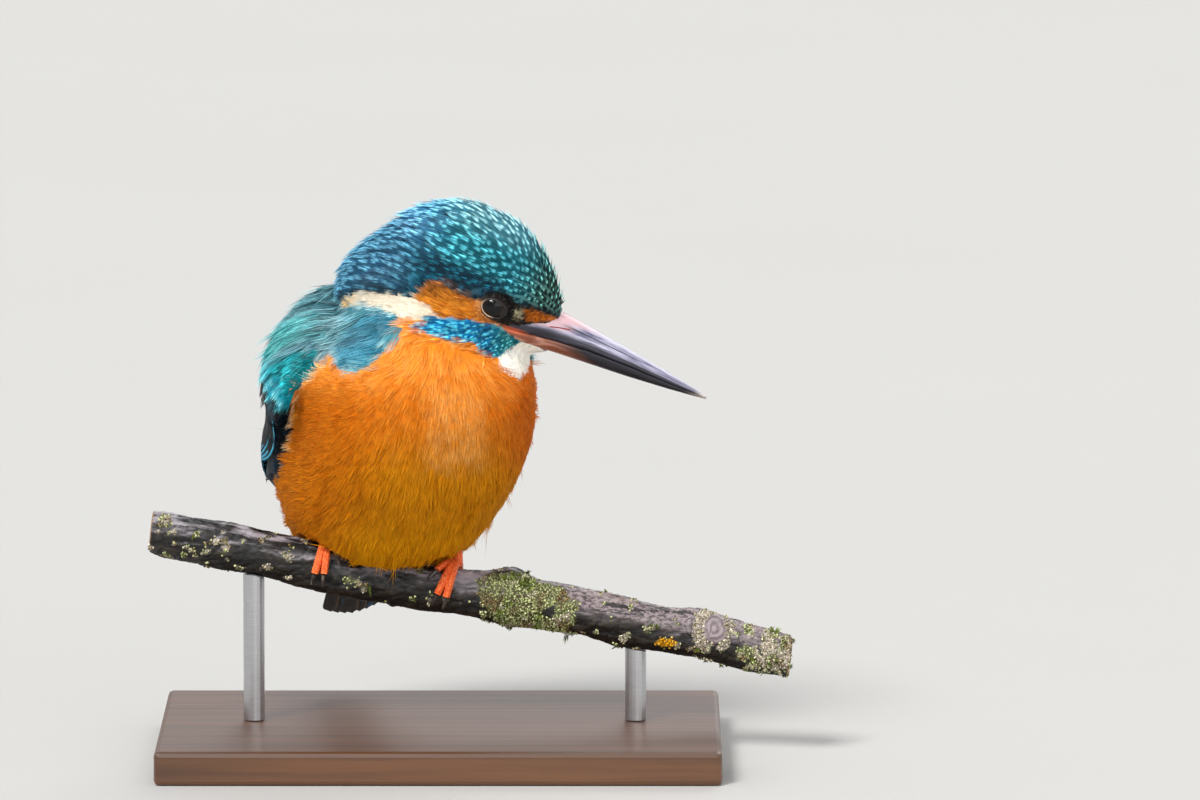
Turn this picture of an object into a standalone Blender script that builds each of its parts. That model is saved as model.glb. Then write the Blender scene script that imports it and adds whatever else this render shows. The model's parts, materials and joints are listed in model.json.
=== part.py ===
"""Common kingfisher, life size, perched on a cut branch above a plain display stand.

Metres, +Z up. The origin is the centre of the underside of the stand's base, X runs
along the branch and the bird looks towards +X with its body turned towards -Y.
"""
import math

import bmesh
import bpy
import numpy as np
from mathutils import Matrix, Vector

MM = 0.001
GAP = 0.3 * MM                      # air between neighbouring pieces

# body: where the trunk's middle stands and how it leans
BODY_MIDDLE = (-8.2 * MM, 2.0 * MM, 74.6 * MM)
BODY_YAW = math.radians(20.0)       # from -Y towards +X
BODY_PITCH = math.radians(43.0)     # breast end up
BODY_POWER = 2.25                   # roundness of the trunk's sections
# along the trunk, half width, back height, belly depth, drift to the right (mm)
TRUNK_ROWS = (
    (-48.0, 3.0, 4.0, 3.0, 1.8),
    (-43.0, 11.0, 14.0, 9.0, 1.8),
    (-33.0, 19.5, 22.5, 18.0, 2.0),
    (-20.0, 25.3, 27.5, 25.0, 2.2),
    (-7.0, 27.4, 31.0, 29.0, 1.8),
    (7.0, 28.7, 33.0, 29.0, 1.0),
    (19.0, 28.4, 33.0, 26.0, 0.8),
    (28.0, 25.8, 29.5, 22.0, 0.6),
    (35.0, 19.5, 22.0, 15.5, 0.0),
    (39.5, 5.0, 6.0, 4.0, 0.0),
)

# head: a point on its midline level with the eyes, and how it is held
HEAD_POINT = (14.1 * MM, -13.0 * MM, 110.7 * MM)
HEAD_YAW = math.radians(4.0)        # from +X towards -Y
HEAD_PITCH = math.radians(23.0)     # bill down
HEAD_ROLL = math.radians(7.0)       # crown towards -Y
HEAD_POWER = 2.15
HEAD_WIDEST = 0.47                  # where its sections are widest, from throat to crown
# along the head from the eyes, crown line, throat line, half width (mm)
HEAD_ROWS = (
    (-37.0, -7.5, -12.0, 3.0),
    (-35.0, -2.5, -15.0, 9.0),
    (-30.0, 5.2, -16.5, 13.0),
    (-22.0, 13.6, -16.5, 14.6),
    (-12.0, 18.6, -15.5, 14.4),
    (-3.0, 18.6, -14.0, 13.2),
    (4.0, 15.5, -12.5, 11.2),
    (9.0, 11.8, -10.9, 8.4),
    (13.5, 6.6, -8.9, 5.3),
    (17.0, 0.6, -6.7, 2.6),
)

EYE_RADIUS = 3.6 * MM
EYE_OUT = 10.1 * MM                 # eyeball's middle from the midline
EYE_UP = 0.3 * MM

# bill, in the head's frame: along, culmen, mouth line, lower edge, half width (mm)
BILL_ROWS = (
    (6.0, 1.4, -3.9, -7.2, 6.2),
    (15.0, 2.4, -3.4, -7.0, 5.0),
    (24.0, 1.6, -2.6, -6.4, 3.8),
    (34.6, 0.4, -2.5, -5.5, 2.7),
    (44.3, -0.9, -2.7, -4.4, 1.6),
    (53.8, -2.3, -2.75, -3.2, 0.35),
)
BILL_RIDGE = 1.25                   # above 1 draws the ridge and the keel sharper
MOUTH_GAP = 0.3 * MM

# neck: height, middle x, middle y, half width along x, half width along y (mm)
NECK_ROWS = (
    (90.0, -4.0, -9.0, 20.5, 17.0),
    (98.0, -5.0, -10.5, 21.5, 17.5),
    (105.0, -5.5, -11.5, 20.0, 16.5),
    (111.0, -6.0, -12.0, 16.5, 13.5),
    (117.0, -6.0, -12.0, 9.0, 7.0),
)

# wing: along the trunk, envelope half width and height, low and high edge angles
# (degrees round the trunk from its side), thickness (mm)
WING_ROWS = (
    (29.0, 26.5, 28.5, 24.0, 46.0, 2.5),
    (23.0, 33.5, 33.5, 2.0, 64.0, 5.5),
    (12.0, 37.0, 36.5, -2.0, 70.0, 7.0),
    (2.0, 33.6, 35.0, 2.0, 71.0, 6.0),
    (-10.0, 30.2, 31.5, 4.0, 70.0, 4.2),
    (-25.0, 28.0, 29.5, 14.0, 68.0, 3.4),
    (-38.0, 24.0, 28.5, 31.0, 64.0, 2.0),
    (-50.0, 19.5, 27.0, 47.0, 58.0, 1.0),
)
WING_LEFT_TUCK = 0.81               # the left wing lies closer to the trunk
WING_POWER = 2.2
WING_RIM = 0.35                     # thickness left at its edges, of the middle's

# tail: from the trunk's end, half width, thickness of the upper and lower side (mm)
TAIL_BASE = (-39.0 * MM, 0.0, -0.5 * MM)        # along, right, up in the body's frame
TAIL_TURN = math.radians(9.5)                  # swings back towards the feet's middle
TAIL_DROP = math.radians(-4.0)
TAIL_ROWS = (
    (0.0, 6.8, 3.6, 5.0),
    (9.0, 7.6, 2.4, 4.6),
    (19.0, 8.0, 1.3, 2.6),
    (28.0, 7.8, 0.9, 0.9),
    (34.0, 6.2, 0.6, 0.6),
    (36.0, 3.6, 0.5, 0.5),
)

PERCH_RADIUS = 5.6 * MM             # mean radius, for arcs round it
# branch: x, y, z of its middle and its radius (mm)
PERCH_ROWS = (
    (-68.2, 1.4, 52.9, 5.5),
    (-40.0, 0.6, 47.4, 5.7),
    (-9.4, 0.0, 41.0, 5.6),
    (12.0, 0.2, 37.6, 5.7),
    (32.4, 0.8, 34.3, 5.5),
    (61.0, -0.4, 28.2, 5.5),
    (82.3, -1.6, 23.6, 5.6),
)
# knots: along x, angle round the branch (0 is up, 90 is -Y), height, spread (mm)
PERCH_KNOTS = (
    (17.0, 8.0, 1.9, 5.0),
    (-52.0, 60.0, 0.9, 6.0),
    (46.0, 150.0, 1.1, 6.0),
    (66.0, 20.0, 1.2, 5.0),
    (-20.0, 190.0, 0.8, 7.0),
    (30.0, 100.0, 0.7, 8.0),
)

# feet: x where the foot stands, side its inner toe is on, sideways lean and splay of
# the toes at their ends, how far the front toes go round the branch (degrees)
FOOT_RIGHT = (-28.2 * MM, 1.0, 0.2 * MM, 2.8 * MM, 97)
FOOT_LEFT = (3.0 * MM, -1.0, -2.6 * MM, 4.6 * MM, 95)
TOE_START = -12                     # turn round the branch where the front toes begin
INNER_TURNS = (-5, 44)
BACK_TURNS = (12, -84)
TOE_RADIUS = 1.1 * MM
TOE_LIFT = TOE_RADIUS * 0.92 + GAP  # its middle above the bark
TOE_TAPER = 0.18
TOE_SPREAD = 1.05 * MM              # middle and outer toe either side of the foot's line
TARSUS_RADIUS = 1.25 * MM
TARSUS_RISE = (0.0, 4.2 * MM, 9.0 * MM)
CLAW_LENGTH = 3.0 * MM
CLAW_RADIUS = 0.62 * MM
CLAW_TIP = 0.28 * MM

# stand
BASE_SIZE = (132.0 * MM, 88.0 * MM, 8.0 * MM)
BASE_EDGE = 1.2 * MM
ROD_RADIUS = 2.5 * MM
ROD_PLACES = (-44.0 * MM, 46.0 * MM)


# ---------------------------------------------------------------- helpers

def empty_scene():
    for ob in list(bpy.data.objects):
        bpy.data.objects.remove(ob, do_unlink=True)


def make_collection(name):
    col = bpy.data.collections.new(name)
    bpy.context.scene.collection.children.link(col)
    return col


def make_material(name, colour, roughness, metallic=0.0):
    mat = bpy.data.materials.new(name)
    mat.use_nodes = True
    shader = mat.node_tree.nodes["Principled BSDF"]
    shader.inputs["Base Color"].default_value = (*colour, 1.0)
    shader.inputs["Roughness"].default_value = roughness
    shader.inputs["Metallic"].default_value = metallic
    return mat


def between(rows, at):
    """Smooth value of every column of rows at one place of the first column."""
    table = np.array(rows, dtype=float)
    if table[0, 0] > table[-1, 0]:
        table = table[::-1]
    x, y = table[:, 0], table[:, 1:]
    slope = np.zeros_like(y)
    slope[0] = (y[1] - y[0]) / (x[1] - x[0])
    slope[-1] = (y[-1] - y[-2]) / (x[-1] - x[-2])
    for i in range(1, len(x) - 1):
        before = (y[i] - y[i - 1]) / (x[i] - x[i - 1])
        after = (y[i + 1] - y[i]) / (x[i + 1] - x[i])
        slope[i] = np.where(before * after > 0.0, (before + after) / 2.0, 0.0)
    at = min(max(at, x[0]), x[-1])
    i = min(int(np.searchsorted(x, at, side="right")) - 1, len(x) - 2)
    h = x[i + 1] - x[i]
    t = (at - x[i]) / h
    return ((2 * t**3 - 3 * t**2 + 1) * y[i] + (t**3 - 2 * t**2 + t) * h * slope[i]
            + (3 * t**2 - 2 * t**3) * y[i + 1] + (t**3 - t**2) * h * slope[i + 1])


def eased(count, low, high):
    """Places from low to high, closer together near both ends."""
    return [low + (high - low) * (1 - math.cos(math.pi * i / (count - 1))) / 2
            for i in range(count)]


def rounded(angle, wide, up, down, power):
    """Point of a rounded section with different heights above and below."""
    c, s = math.cos(angle), math.sin(angle)
    out = math.copysign(abs(c) ** (2 / power), c) * wide
    high = math.copysign(abs(s) ** (2 / power), s) * (up if s > 0 else down)
    return out, high


def loft(name, rings):
    """Closed skin over rings of points, each end closed by a face."""
    bm = bmesh.new()
    loops = [[bm.verts.new(p) for p in ring] for ring in rings]
    n = len(loops[0])
    for a, b in zip(loops, loops[1:]):
        for i in range(n):
            bm.faces.new((a[i], a[(i + 1) % n], b[(i + 1) % n], b[i]))
    bm.faces.new(loops[0])
    bm.faces.new(loops[-1])
    bmesh.ops.recalc_face_normals(bm, faces=bm.faces)
    mesh = bpy.data.meshes.new(name)
    bm.to_mesh(mesh)
    bm.free()
    mesh.shade_smooth()
    return mesh


def add_object(name, mesh, col, mat=None):
    ob = bpy.data.objects.new(name, mesh)
    col.objects.link(ob)
    if mat:
        mesh.materials.append(mat)
    return ob


def add_cutter(name, mesh, col):
    ob = add_object(name, mesh, col)
    ob.hide_render = True
    ob.display_type = 'WIRE'
    return ob


def cut(ob, *cutters):
    for cutter in cutters:
        mod = ob.modifiers.new("cut " + cutter.name, 'BOOLEAN')
        mod.operation = 'DIFFERENCE'
        mod.solver = 'EXACT'
        mod.object = cutter


def tube(name, points, radii, col, rings=2):
    """Round bar along points, its radius changing from point to point, as a closed mesh."""
    curve = bpy.data.curves.new(name, 'CURVE')
    curve.dimensions = '3D'
    curve.bevel_depth = 1.0
    curve.bevel_resolution = rings
    curve.use_fill_caps = True
    path = curve.splines.new('POLY')
    path.points.add(len(points) - 1)
    for spot, p, r in zip(path.points, points, radii):
        spot.co = (*p, 1.0)
        spot.radius = r
    guide = bpy.data.objects.new(name, curve)
    col.objects.link(guide)
    bpy.context.view_layer.update()
    shape = guide.evaluated_get(bpy.context.evaluated_depsgraph_get())
    mesh = bpy.data.meshes.new_from_object(shape)
    bm = bmesh.new()
    bm.from_mesh(mesh)
    bmesh.ops.remove_doubles(bm, verts=bm.verts, dist=0.00002)
    bmesh.ops.recalc_face_normals(bm, faces=bm.faces)
    bm.to_mesh(mesh)
    bm.free()
    mesh.name = name
    bpy.data.objects.remove(guide, do_unlink=True)
    bpy.data.curves.remove(curve)
    return mesh


# ---------------------------------------------------------------- frames

def body_axes():
    ahead = np.array((math.sin(BODY_YAW), -math.cos(BODY_YAW), 0.0))
    up = np.array((0.0, 0.0, 1.0))
    right = np.cross(ahead, up)
    along = math.cos(BODY_PITCH) * ahead + math.sin(BODY_PITCH) * up
    back = -math.sin(BODY_PITCH) * ahead + math.cos(BODY_PITCH) * up
    return along, right, back


def body_point(along, right, back):
    a, r, b = body_axes()
    return np.array(BODY_MIDDLE) + a * along + r * right + b * back


def head_axes():
    level = np.array((math.cos(HEAD_YAW), -math.sin(HEAD_YAW), 0.0))
    up = np.array((0.0, 0.0, 1.0))
    along = math.cos(HEAD_PITCH) * level - math.sin(HEAD_PITCH) * up
    crown = math.sin(HEAD_PITCH) * level + math.cos(HEAD_PITCH) * up
    right = np.cross(along, crown)
    tipped = math.cos(HEAD_ROLL) * crown + math.sin(HEAD_ROLL) * right
    return along, np.cross(along, tipped), tipped


def head_point(along, right, up):
    a, r, u = head_axes()
    return np.array(HEAD_POINT) + a * along + r * right + u * up


# ---------------------------------------------------------------- the bird's flesh

def trunk_mesh(name, grow=0.0, rings=22, sides=26):
    low, high = TRUNK_ROWS[0][0], TRUNK_ROWS[-1][0]
    skins = []
    for at in eased(rings, low, high):
        wide, up, down, drift = between(TRUNK_ROWS, at) * MM
        reach = at * MM + grow * (2 * (at - low) / (high - low) - 1)
        ring = []
        for i in range(sides):
            x, z = rounded(2 * math.pi * i / sides, wide + grow, up + grow, down + grow,
                           BODY_POWER)
            ring.append(body_point(reach, x + drift, z))
        skins.append(ring)
    return loft(name, skins)


def head_mesh(name, grow=0.0, rings=18, sides=22):
    low, high = HEAD_ROWS[0][0], HEAD_ROWS[-1][0]
    skins = []
    for at in eased(rings, low, high):
        top, bottom, wide = between(HEAD_ROWS, at) * MM
        middle = bottom + (top - bottom) * HEAD_WIDEST
        reach = at * MM + grow * (2 * (at - low) / (high - low) - 1)
        ring = []
        for i in range(sides):
            x, z = rounded(2 * math.pi * i / sides, wide + grow, top - middle + grow,
                           middle - bottom + grow, HEAD_POWER)
            ring.append(head_point(reach, x, middle + z))
        skins.append(ring)
    return loft(name, skins)


def neck_mesh(name, grow=0.0, rings=10, sides=22):
    low, high = NECK_ROWS[0][0], NECK_ROWS[-1][0]
    skins = []
    for at in eased(rings, low, high):
        x, y, wide, deep = between(NECK_ROWS, at) * MM
        z = at * MM + grow * (2 * (at - low) / (high - low) - 1)
        skins.append([(x + (wide + grow) * math.cos(2 * math.pi * i / sides),
                       y + (deep + grow) * math.sin(2 * math.pi * i / sides), z)
                      for i in range(sides)])
    return loft(name, skins)


def wing_mesh(name, side, rings=17, across=9):
    """Folded wing as a curved blade that hugs the trunk; side is 1 right, -1 left."""
    low, high = WING_ROWS[-1][0], WING_ROWS[0][0]
    skins = []
    for at in eased(rings, high, low):
        wide, up, first, last, thick = between(WING_ROWS, at)
        wide *= 1.0 if side > 0 else WING_LEFT_TUCK
        outer, inner = [], []
        for i in range(across):
            u = i / (across - 1)
            angle = math.radians(first + (last - first) * u)
            edge = WING_RIM + (1 - WING_RIM) * math.sqrt(max(0.0, 1 - (2 * u - 1) ** 2))
            x, z = rounded(angle, wide, up, up, WING_POWER)
            shrink = 1 - thick * edge / math.hypot(x, z)
            outer.append(body_point(at * MM, side * x * MM, z * MM))
            inner.append(body_point(at * MM, side * x * shrink * MM, z * shrink * MM))
        skins.append(outer + inner[::-1])
    return loft(name, skins)


def tail_point(along, right, up):
    a, r, b = body_axes()
    out = -a * math.cos(TAIL_TURN) - r * math.sin(TAIL_TURN)
    out = out * math.cos(TAIL_DROP) - b * math.sin(TAIL_DROP)
    flat = np.cross(b, -out)
    flat = flat / np.linalg.norm(flat)
    over = np.cross(flat, out)
    over = over if over @ b > 0 else -over
    return body_point(*TAIL_BASE) + out * along + flat * right + over * up


def tail_mesh(name, rings=10, sides=14):
    skins = []
    for at in eased(rings, TAIL_ROWS[0][0], TAIL_ROWS[-1][0]):
        wide, up, down = between(TAIL_ROWS, at) * MM
        ring = []
        for i in range(sides):
            x, z = rounded(2 * math.pi * i / sides, wide, up, down, 2.4)
            ring.append(tail_point(at * MM, x, z))
        skins.append(ring)
    return loft(name, skins)


# ---------------------------------------------------------------- bill and eyes

def bill_mesh(name, upper, rings=10, half=7):
    """One half of the bill: a ridge over the mouth line, or a keel under it."""
    skins = []
    low, high = BILL_ROWS[0][0], BILL_ROWS[-1][0]
    for i in range(rings):
        at = low + (high - low) * i / (rings - 1)
        top, mouth, bottom, wide = between(BILL_ROWS, at) * MM
        depth = top - mouth if upper else mouth - bottom
        sign = 1 if upper else -1
        ring = []
        for j in range(half):
            angle = math.pi * j / (half - 1)
            x = math.cos(angle) * wide
            z = math.sin(angle) ** BILL_RIDGE * (depth - MOUTH_GAP / 2)
            ring.append(head_point(at * MM, x, mouth + sign * (z + MOUTH_GAP / 2)))
        skins.append(ring)
    return loft(name, skins)


def bill_cutter_mesh(name, grow, rings=10, sides=14):
    low, high = BILL_ROWS[0][0], BILL_ROWS[-1][0]
    skins = []
    for i in range(rings):
        at = low + (high - low) * i / (rings - 1)
        top, mouth, bottom, wide = between(BILL_ROWS, at) * MM
        ring = []
        for j in range(sides):
            angle = 2 * math.pi * j / sides
            x = math.cos(angle) * (wide + grow)
            s = math.sin(angle)
            deep = top - mouth if s > 0 else mouth - bottom
            z = math.copysign(abs(s) ** BILL_RIDGE, s) * (deep + grow)
            ring.append(head_point(at * MM - grow, x, mouth + z))
        skins.append(ring)
    return loft(name, skins)


def eye_mesh(name, side, radius):
    bm = bmesh.new()
    bmesh.ops.create_uvsphere(bm, u_segments=14, v_segments=8, radius=radius)
    a, r, u = head_axes()
    place = Matrix.Identity(4)
    for col, axis in enumerate((a, u, r * side)):
        for row in range(3):
            place[row][col] = axis[row]
    spot = head_point(0.0, side * EYE_OUT, EYE_UP)
    place.translation = Vector(spot)
    bmesh.ops.transform(bm, matrix=place, verts=bm.verts)
    bmesh.ops.recalc_face_normals(bm, faces=bm.faces)
    mesh = bpy.data.meshes.new(name)
    bm.to_mesh(mesh)
    bm.free()
    mesh.shade_smooth()
    return mesh


# ---------------------------------------------------------------- branch

def perch_at(x):
    """Middle of the branch, its direction and its radius at one x in metres."""
    rows = PERCH_ROWS
    y, z, r = between(rows, x / MM) * MM
    y2, z2, _ = between(rows, x / MM + 0.5) * MM
    y1, z1, _ = between(rows, x / MM - 0.5) * MM
    way = np.array((1.0 * MM, y2 - y1, z2 - z1))
    return np.array((x, y, z)), way / np.linalg.norm(way), r


def perch_point(x, turn, out):
    """Point round the branch: turn 0 is up, a quarter turn is the side towards -Y."""
    middle, way, r = perch_at(x)
    side = np.cross(way, (0.0, 0.0, 1.0))
    side = side / np.linalg.norm(side)
    over = np.cross(side, way)
    bump = 0.0
    for kx, kturn, high, wide in PERCH_KNOTS:
        dx = (x / MM - kx) / wide
        da = math.remainder(turn - math.radians(kturn), 2 * math.pi) * r / MM / wide
        bump += high * MM * math.exp(-dx * dx - da * da)
    rough = 0.18 * MM * math.sin(3 * turn + x * 240) + 0.14 * MM * math.sin(2 * turn - x * 410)
    return middle + (side * math.sin(turn) + over * math.cos(turn)) * (r + bump + rough + out)


def perch_mesh(name, grow=0.0, rings=36, sides=14):
    low, high = PERCH_ROWS[0][0] * MM, PERCH_ROWS[-1][0] * MM
    skins = []
    for i in range(rings):
        x = low + (high - low) * i / (rings - 1)
        trim = -0.5 * MM if i in (0, rings - 1) else 0.0
        skins.append([perch_point(x, 2 * math.pi * j / sides, grow + trim) for j in range(sides)])
    return loft(name, skins)


# ---------------------------------------------------------------- feet

def foot_plan(x, inner, lean, splay, reach):
    """Each toe: x at its root and end, turn at its root and end (degrees), radius."""
    return {
        "middle": (x, x + lean - TOE_SPREAD * inner, TOE_START, reach, TOE_RADIUS),
        "outer": (x, x + lean + TOE_SPREAD * inner, TOE_START, reach - 3, TOE_RADIUS * 0.95),
        "inner": (x, x + inner * splay, *INNER_TURNS, TOE_RADIUS * 0.85),
        "back": (x, x - lean * 0.5, *BACK_TURNS, TOE_RADIUS * 0.95),
    }


def toe_mesh(name, x0, x1, start, end, radius, cutters, steps=7):
    """A toe that goes round the branch from one turn to another."""
    spots, radii = [], []
    for i in range(steps):
        t = i / (steps - 1)
        turn = math.radians(start + (end - start) * t)
        spots.append(perch_point(x0 + (x1 - x0) * t, turn, TOE_LIFT))
        radii.append(radius * (1.0 - TOE_TAPER * t))
    return tube(name, spots, radii, cutters)


def shank_mesh(name, x, cutters, grow=0.0):
    foot = perch_point(x, 0.0, TOE_LIFT)
    rise = np.array(TARSUS_RISE)
    spots = [foot + rise * t for t in (-0.06, 0.3, 0.65, 1.0)]
    spots[-1] = spots[-1] + rise / np.linalg.norm(rise) * grow
    radii = [TARSUS_RADIUS * f + grow for f in (1.05, 0.95, 1.0, 1.15)]
    return tube(name, spots, radii, cutters)


def foot_room_mesh(name, foot_at, sides=14):
    """Space round the branch that the toes and claws of one foot take up."""
    x, inner, splay = foot_at[0], foot_at[1], foot_at[3]
    room = 3.1 * MM
    near, far = x - inner * room, x + inner * (splay + room)
    skins = []
    for t in (0.0, 0.3, 0.7, 1.0):
        at = near + (far - near) * t
        skins.append([perch_point(at, 2 * math.pi * j / sides, room) for j in range(sides)])
    return loft(name, skins)


def leg_object(tag, foot_at, col, cutters, mat):
    """Shank with all the toes of one foot joined to it."""
    leg = add_object("leg_" + tag, shank_mesh("leg_" + tag, foot_at[0], cutters), col, mat)
    for toe, plan in foot_plan(*foot_at).items():
        name = f"toe_{tag}_{toe}"
        mod = leg.modifiers.new("join " + toe, 'BOOLEAN')
        mod.operation = 'UNION'
        mod.solver = 'EXACT'
        mod.object = add_cutter(name, toe_mesh(name, *plan, cutters), cutters)
    return leg


def claw_mesh(name, x0, x1, start, end, cutters, steps=6):
    """Curved claw that carries on from the end of one toe."""
    run = math.radians(end - start)
    way = math.copysign(1.0 / (PERCH_RADIUS + TOE_LIFT), run)
    slope = (x1 - x0) / run
    spots, radii = [], []
    for i in range(steps):
        t = i / (steps - 1)
        turn = way * CLAW_LENGTH * t
        arch = CLAW_TIP * (math.sin(math.pi * t) - t)
        spots.append(perch_point(x1 + slope * turn, math.radians(end) + way * 1.4 * GAP + turn,
                                 TOE_LIFT + arch))
        radii.append(CLAW_RADIUS + (CLAW_TIP - CLAW_RADIUS) * t)
    return tube(name, spots, radii, cutters, rings=1)


# ---------------------------------------------------------------- stand

def base_object(col, mat):
    bpy.ops.mesh.primitive_cube_add(size=1.0, location=(0.0, 0.0, BASE_SIZE[2] / 2))
    base = bpy.context.object
    base.name = "stand_base"
    base.data.transform(Matrix.Diagonal((*BASE_SIZE, 1.0)))
    for home in list(base.users_collection):
        home.objects.unlink(base)
    col.objects.link(base)
    base.data.materials.append(mat)
    mod = base.modifiers.new("edge", 'BEVEL')
    mod.width = BASE_EDGE
    mod.segments = 2
    return base


def rod_object(name, x, col, mat, perch_cutter):
    middle = perch_at(x)[0]
    low, high = BASE_SIZE[2] + GAP, middle[2]
    bpy.ops.mesh.primitive_cylinder_add(vertices=20, radius=ROD_RADIUS, depth=high - low,
                                        location=(x, middle[1], (low + high) / 2))
    rod = bpy.context.object
    rod.name = name
    for home in list(rod.users_collection):
        home.objects.unlink(rod)
    col.objects.link(rod)
    rod.data.materials.append(mat)
    rod.data.shade_smooth()
    rod.data.set_sharp_from_angle(angle=math.radians(40))
    cut(rod, perch_cutter)
    return rod


# ---------------------------------------------------------------- the whole

def build():
    empty_scene()
    parts = make_collection("common_kingfisher")
    cutters = make_collection("cutters")

    orange = make_material("breast_orange", (0.72, 0.22, 0.03), 0.85)
    blue = make_material("wing_blue", (0.01, 0.22, 0.30), 0.6)
    crown = make_material("crown_blue", (0.01, 0.16, 0.24), 0.6)
    white = make_material("neck_white", (0.8, 0.7, 0.52), 0.85)
    dark = make_material("tail_dark", (0.01, 0.04, 0.08), 0.6)
    horn = make_material("bill_horn", (0.03, 0.03, 0.035), 0.35)
    under = make_material("bill_under", (0.06, 0.03, 0.03), 0.4)
    eye = make_material("eye_dark", (0.01, 0.006, 0.004), 0.05)
    foot = make_material("foot_red", (0.75, 0.12, 0.03), 0.5)
    claw = make_material("claw_horn", (0.03, 0.025, 0.025), 0.4)
    bark = make_material("bark", (0.06, 0.045, 0.05), 0.8)
    stand = make_material("stand_black", (0.03, 0.03, 0.03), 0.4)
    steel = make_material("stand_steel", (0.5, 0.5, 0.5), 0.35, 1.0)

    trunk_cut = add_cutter("trunk_space", trunk_mesh("trunk_space", GAP), cutters)
    head_cut = add_cutter("head_space", head_mesh("head_space", GAP), cutters)
    neck_cut = add_cutter("neck_space", neck_mesh("neck_space", GAP), cutters)
    perch_cut = add_cutter("perch_space", perch_mesh("perch_space", GAP), cutters)
    bill_cut = add_cutter("bill_space", bill_cutter_mesh("bill_space", GAP), cutters)

    trunk = add_object("trunk", trunk_mesh("trunk"), parts, orange)
    head = add_object("head", head_mesh("head"), parts, crown)
    add_object("neck", neck_mesh("neck"), parts, white)
    cut(head, neck_cut, bill_cut)
    cut(trunk, neck_cut, head_cut)

    for tag, side in (("right", 1), ("left", -1)):
        wing = add_object("wing_" + tag, wing_mesh("wing_" + tag, side), parts, blue)
        cut(wing, trunk_cut, neck_cut, head_cut)
        add_object("eye_" + tag, eye_mesh("eye_" + tag, side, EYE_RADIUS), parts, eye)
        socket = add_cutter("socket_" + tag, eye_mesh("socket_" + tag, side, EYE_RADIUS + GAP), cutters)
        cut(head, socket)

    tail = add_object("tail", tail_mesh("tail"), parts, dark)
    cut(tail, trunk_cut)

    add_object("bill_upper", bill_mesh("bill_upper", True), parts, horn)
    add_object("bill_lower", bill_mesh("bill_lower", False), parts, under)

    for tag, foot_at in (("right", FOOT_RIGHT), ("left", FOOT_LEFT)):
        leg = leg_object(tag, foot_at, parts, cutters, foot)
        cut(leg, perch_cut)
        cut(trunk, add_cutter("shank_space_" + tag, shank_mesh("shank_space_" + tag, foot_at[0],
                                                              cutters, GAP), cutters),
            add_cutter("foot_space_" + tag, foot_room_mesh("foot_space_" + tag, foot_at),
                       cutters))
        for toe, (x0, x1, a0, a1, _) in foot_plan(*foot_at).items():
            name = f"claw_{tag}_{toe}"
            nail = add_object(name, claw_mesh(name, x0, x1, a0, a1, cutters), parts, claw)
            cut(nail, perch_cut)

    cut(trunk, perch_cut)
    add_object("perch", perch_mesh("perch"), parts, bark)
    base_object(parts, stand)
    for i, x in enumerate(ROD_PLACES):
        rod_object(f"stand_rod_{i + 1}", x, parts, steel, perch_cut)


build()
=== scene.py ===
import json
import math
import random
import time
import bpy
import bmesh
import numpy as np
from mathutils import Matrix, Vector, noise
from mathutils.bvhtree import BVHTree

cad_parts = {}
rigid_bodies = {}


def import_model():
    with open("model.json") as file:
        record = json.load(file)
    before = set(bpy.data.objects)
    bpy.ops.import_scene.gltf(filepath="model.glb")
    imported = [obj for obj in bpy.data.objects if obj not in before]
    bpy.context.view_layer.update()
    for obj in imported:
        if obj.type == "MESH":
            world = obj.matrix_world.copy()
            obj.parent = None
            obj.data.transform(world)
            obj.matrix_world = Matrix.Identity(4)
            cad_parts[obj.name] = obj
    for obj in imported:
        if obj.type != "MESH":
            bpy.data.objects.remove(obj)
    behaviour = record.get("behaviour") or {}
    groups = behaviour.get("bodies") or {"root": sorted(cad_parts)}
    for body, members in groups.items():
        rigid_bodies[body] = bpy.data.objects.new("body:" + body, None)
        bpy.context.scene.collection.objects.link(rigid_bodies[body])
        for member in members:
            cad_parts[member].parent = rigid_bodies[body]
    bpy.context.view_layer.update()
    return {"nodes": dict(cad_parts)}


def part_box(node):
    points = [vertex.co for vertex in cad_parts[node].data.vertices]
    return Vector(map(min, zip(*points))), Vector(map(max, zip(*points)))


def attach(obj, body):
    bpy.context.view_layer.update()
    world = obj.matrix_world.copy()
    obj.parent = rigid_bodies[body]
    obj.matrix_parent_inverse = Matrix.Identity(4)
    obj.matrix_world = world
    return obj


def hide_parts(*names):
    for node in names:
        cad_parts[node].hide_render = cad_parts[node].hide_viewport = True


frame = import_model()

nodes = frame["nodes"]
scene = bpy.context.scene
started = time.time()


def say(text):
    print("%6.1f s  %s" % (time.time() - started, text))


def unit(v):
    v = np.asarray(v, float)
    return v / np.maximum(np.linalg.norm(v, axis=-1, keepdims=True), 1e-12)


def ramp(x, low, high):  # 0 below low, 1 above high, eased between
    t = np.clip((np.asarray(x, float) - low) / (high - low), 0, 1)
    return t * t * (3 - 2 * t)


def rowsAt(rows, x):  # rows of (place, value, ...), read off at the places x
    rows = np.array(sorted(rows), float)
    return [np.interp(x, rows[:, 0], rows[:, k]) for k in range(1, rows.shape[1])]


def ink(code):  # screen colour to the shader's
    c = np.array([int(code[i:i + 2], 16) / 255 for i in (0, 2, 4)])
    return np.where(c <= 0.04045, c / 12.92, ((c + 0.055) / 1.055) ** 2.4)


def paint(colours, mask, code):  # lays a colour over others where the mask is
    colour = ink(code) if isinstance(code, str) else code
    return colours + (colour - colours) * np.asarray(mask)[:, None]


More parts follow.
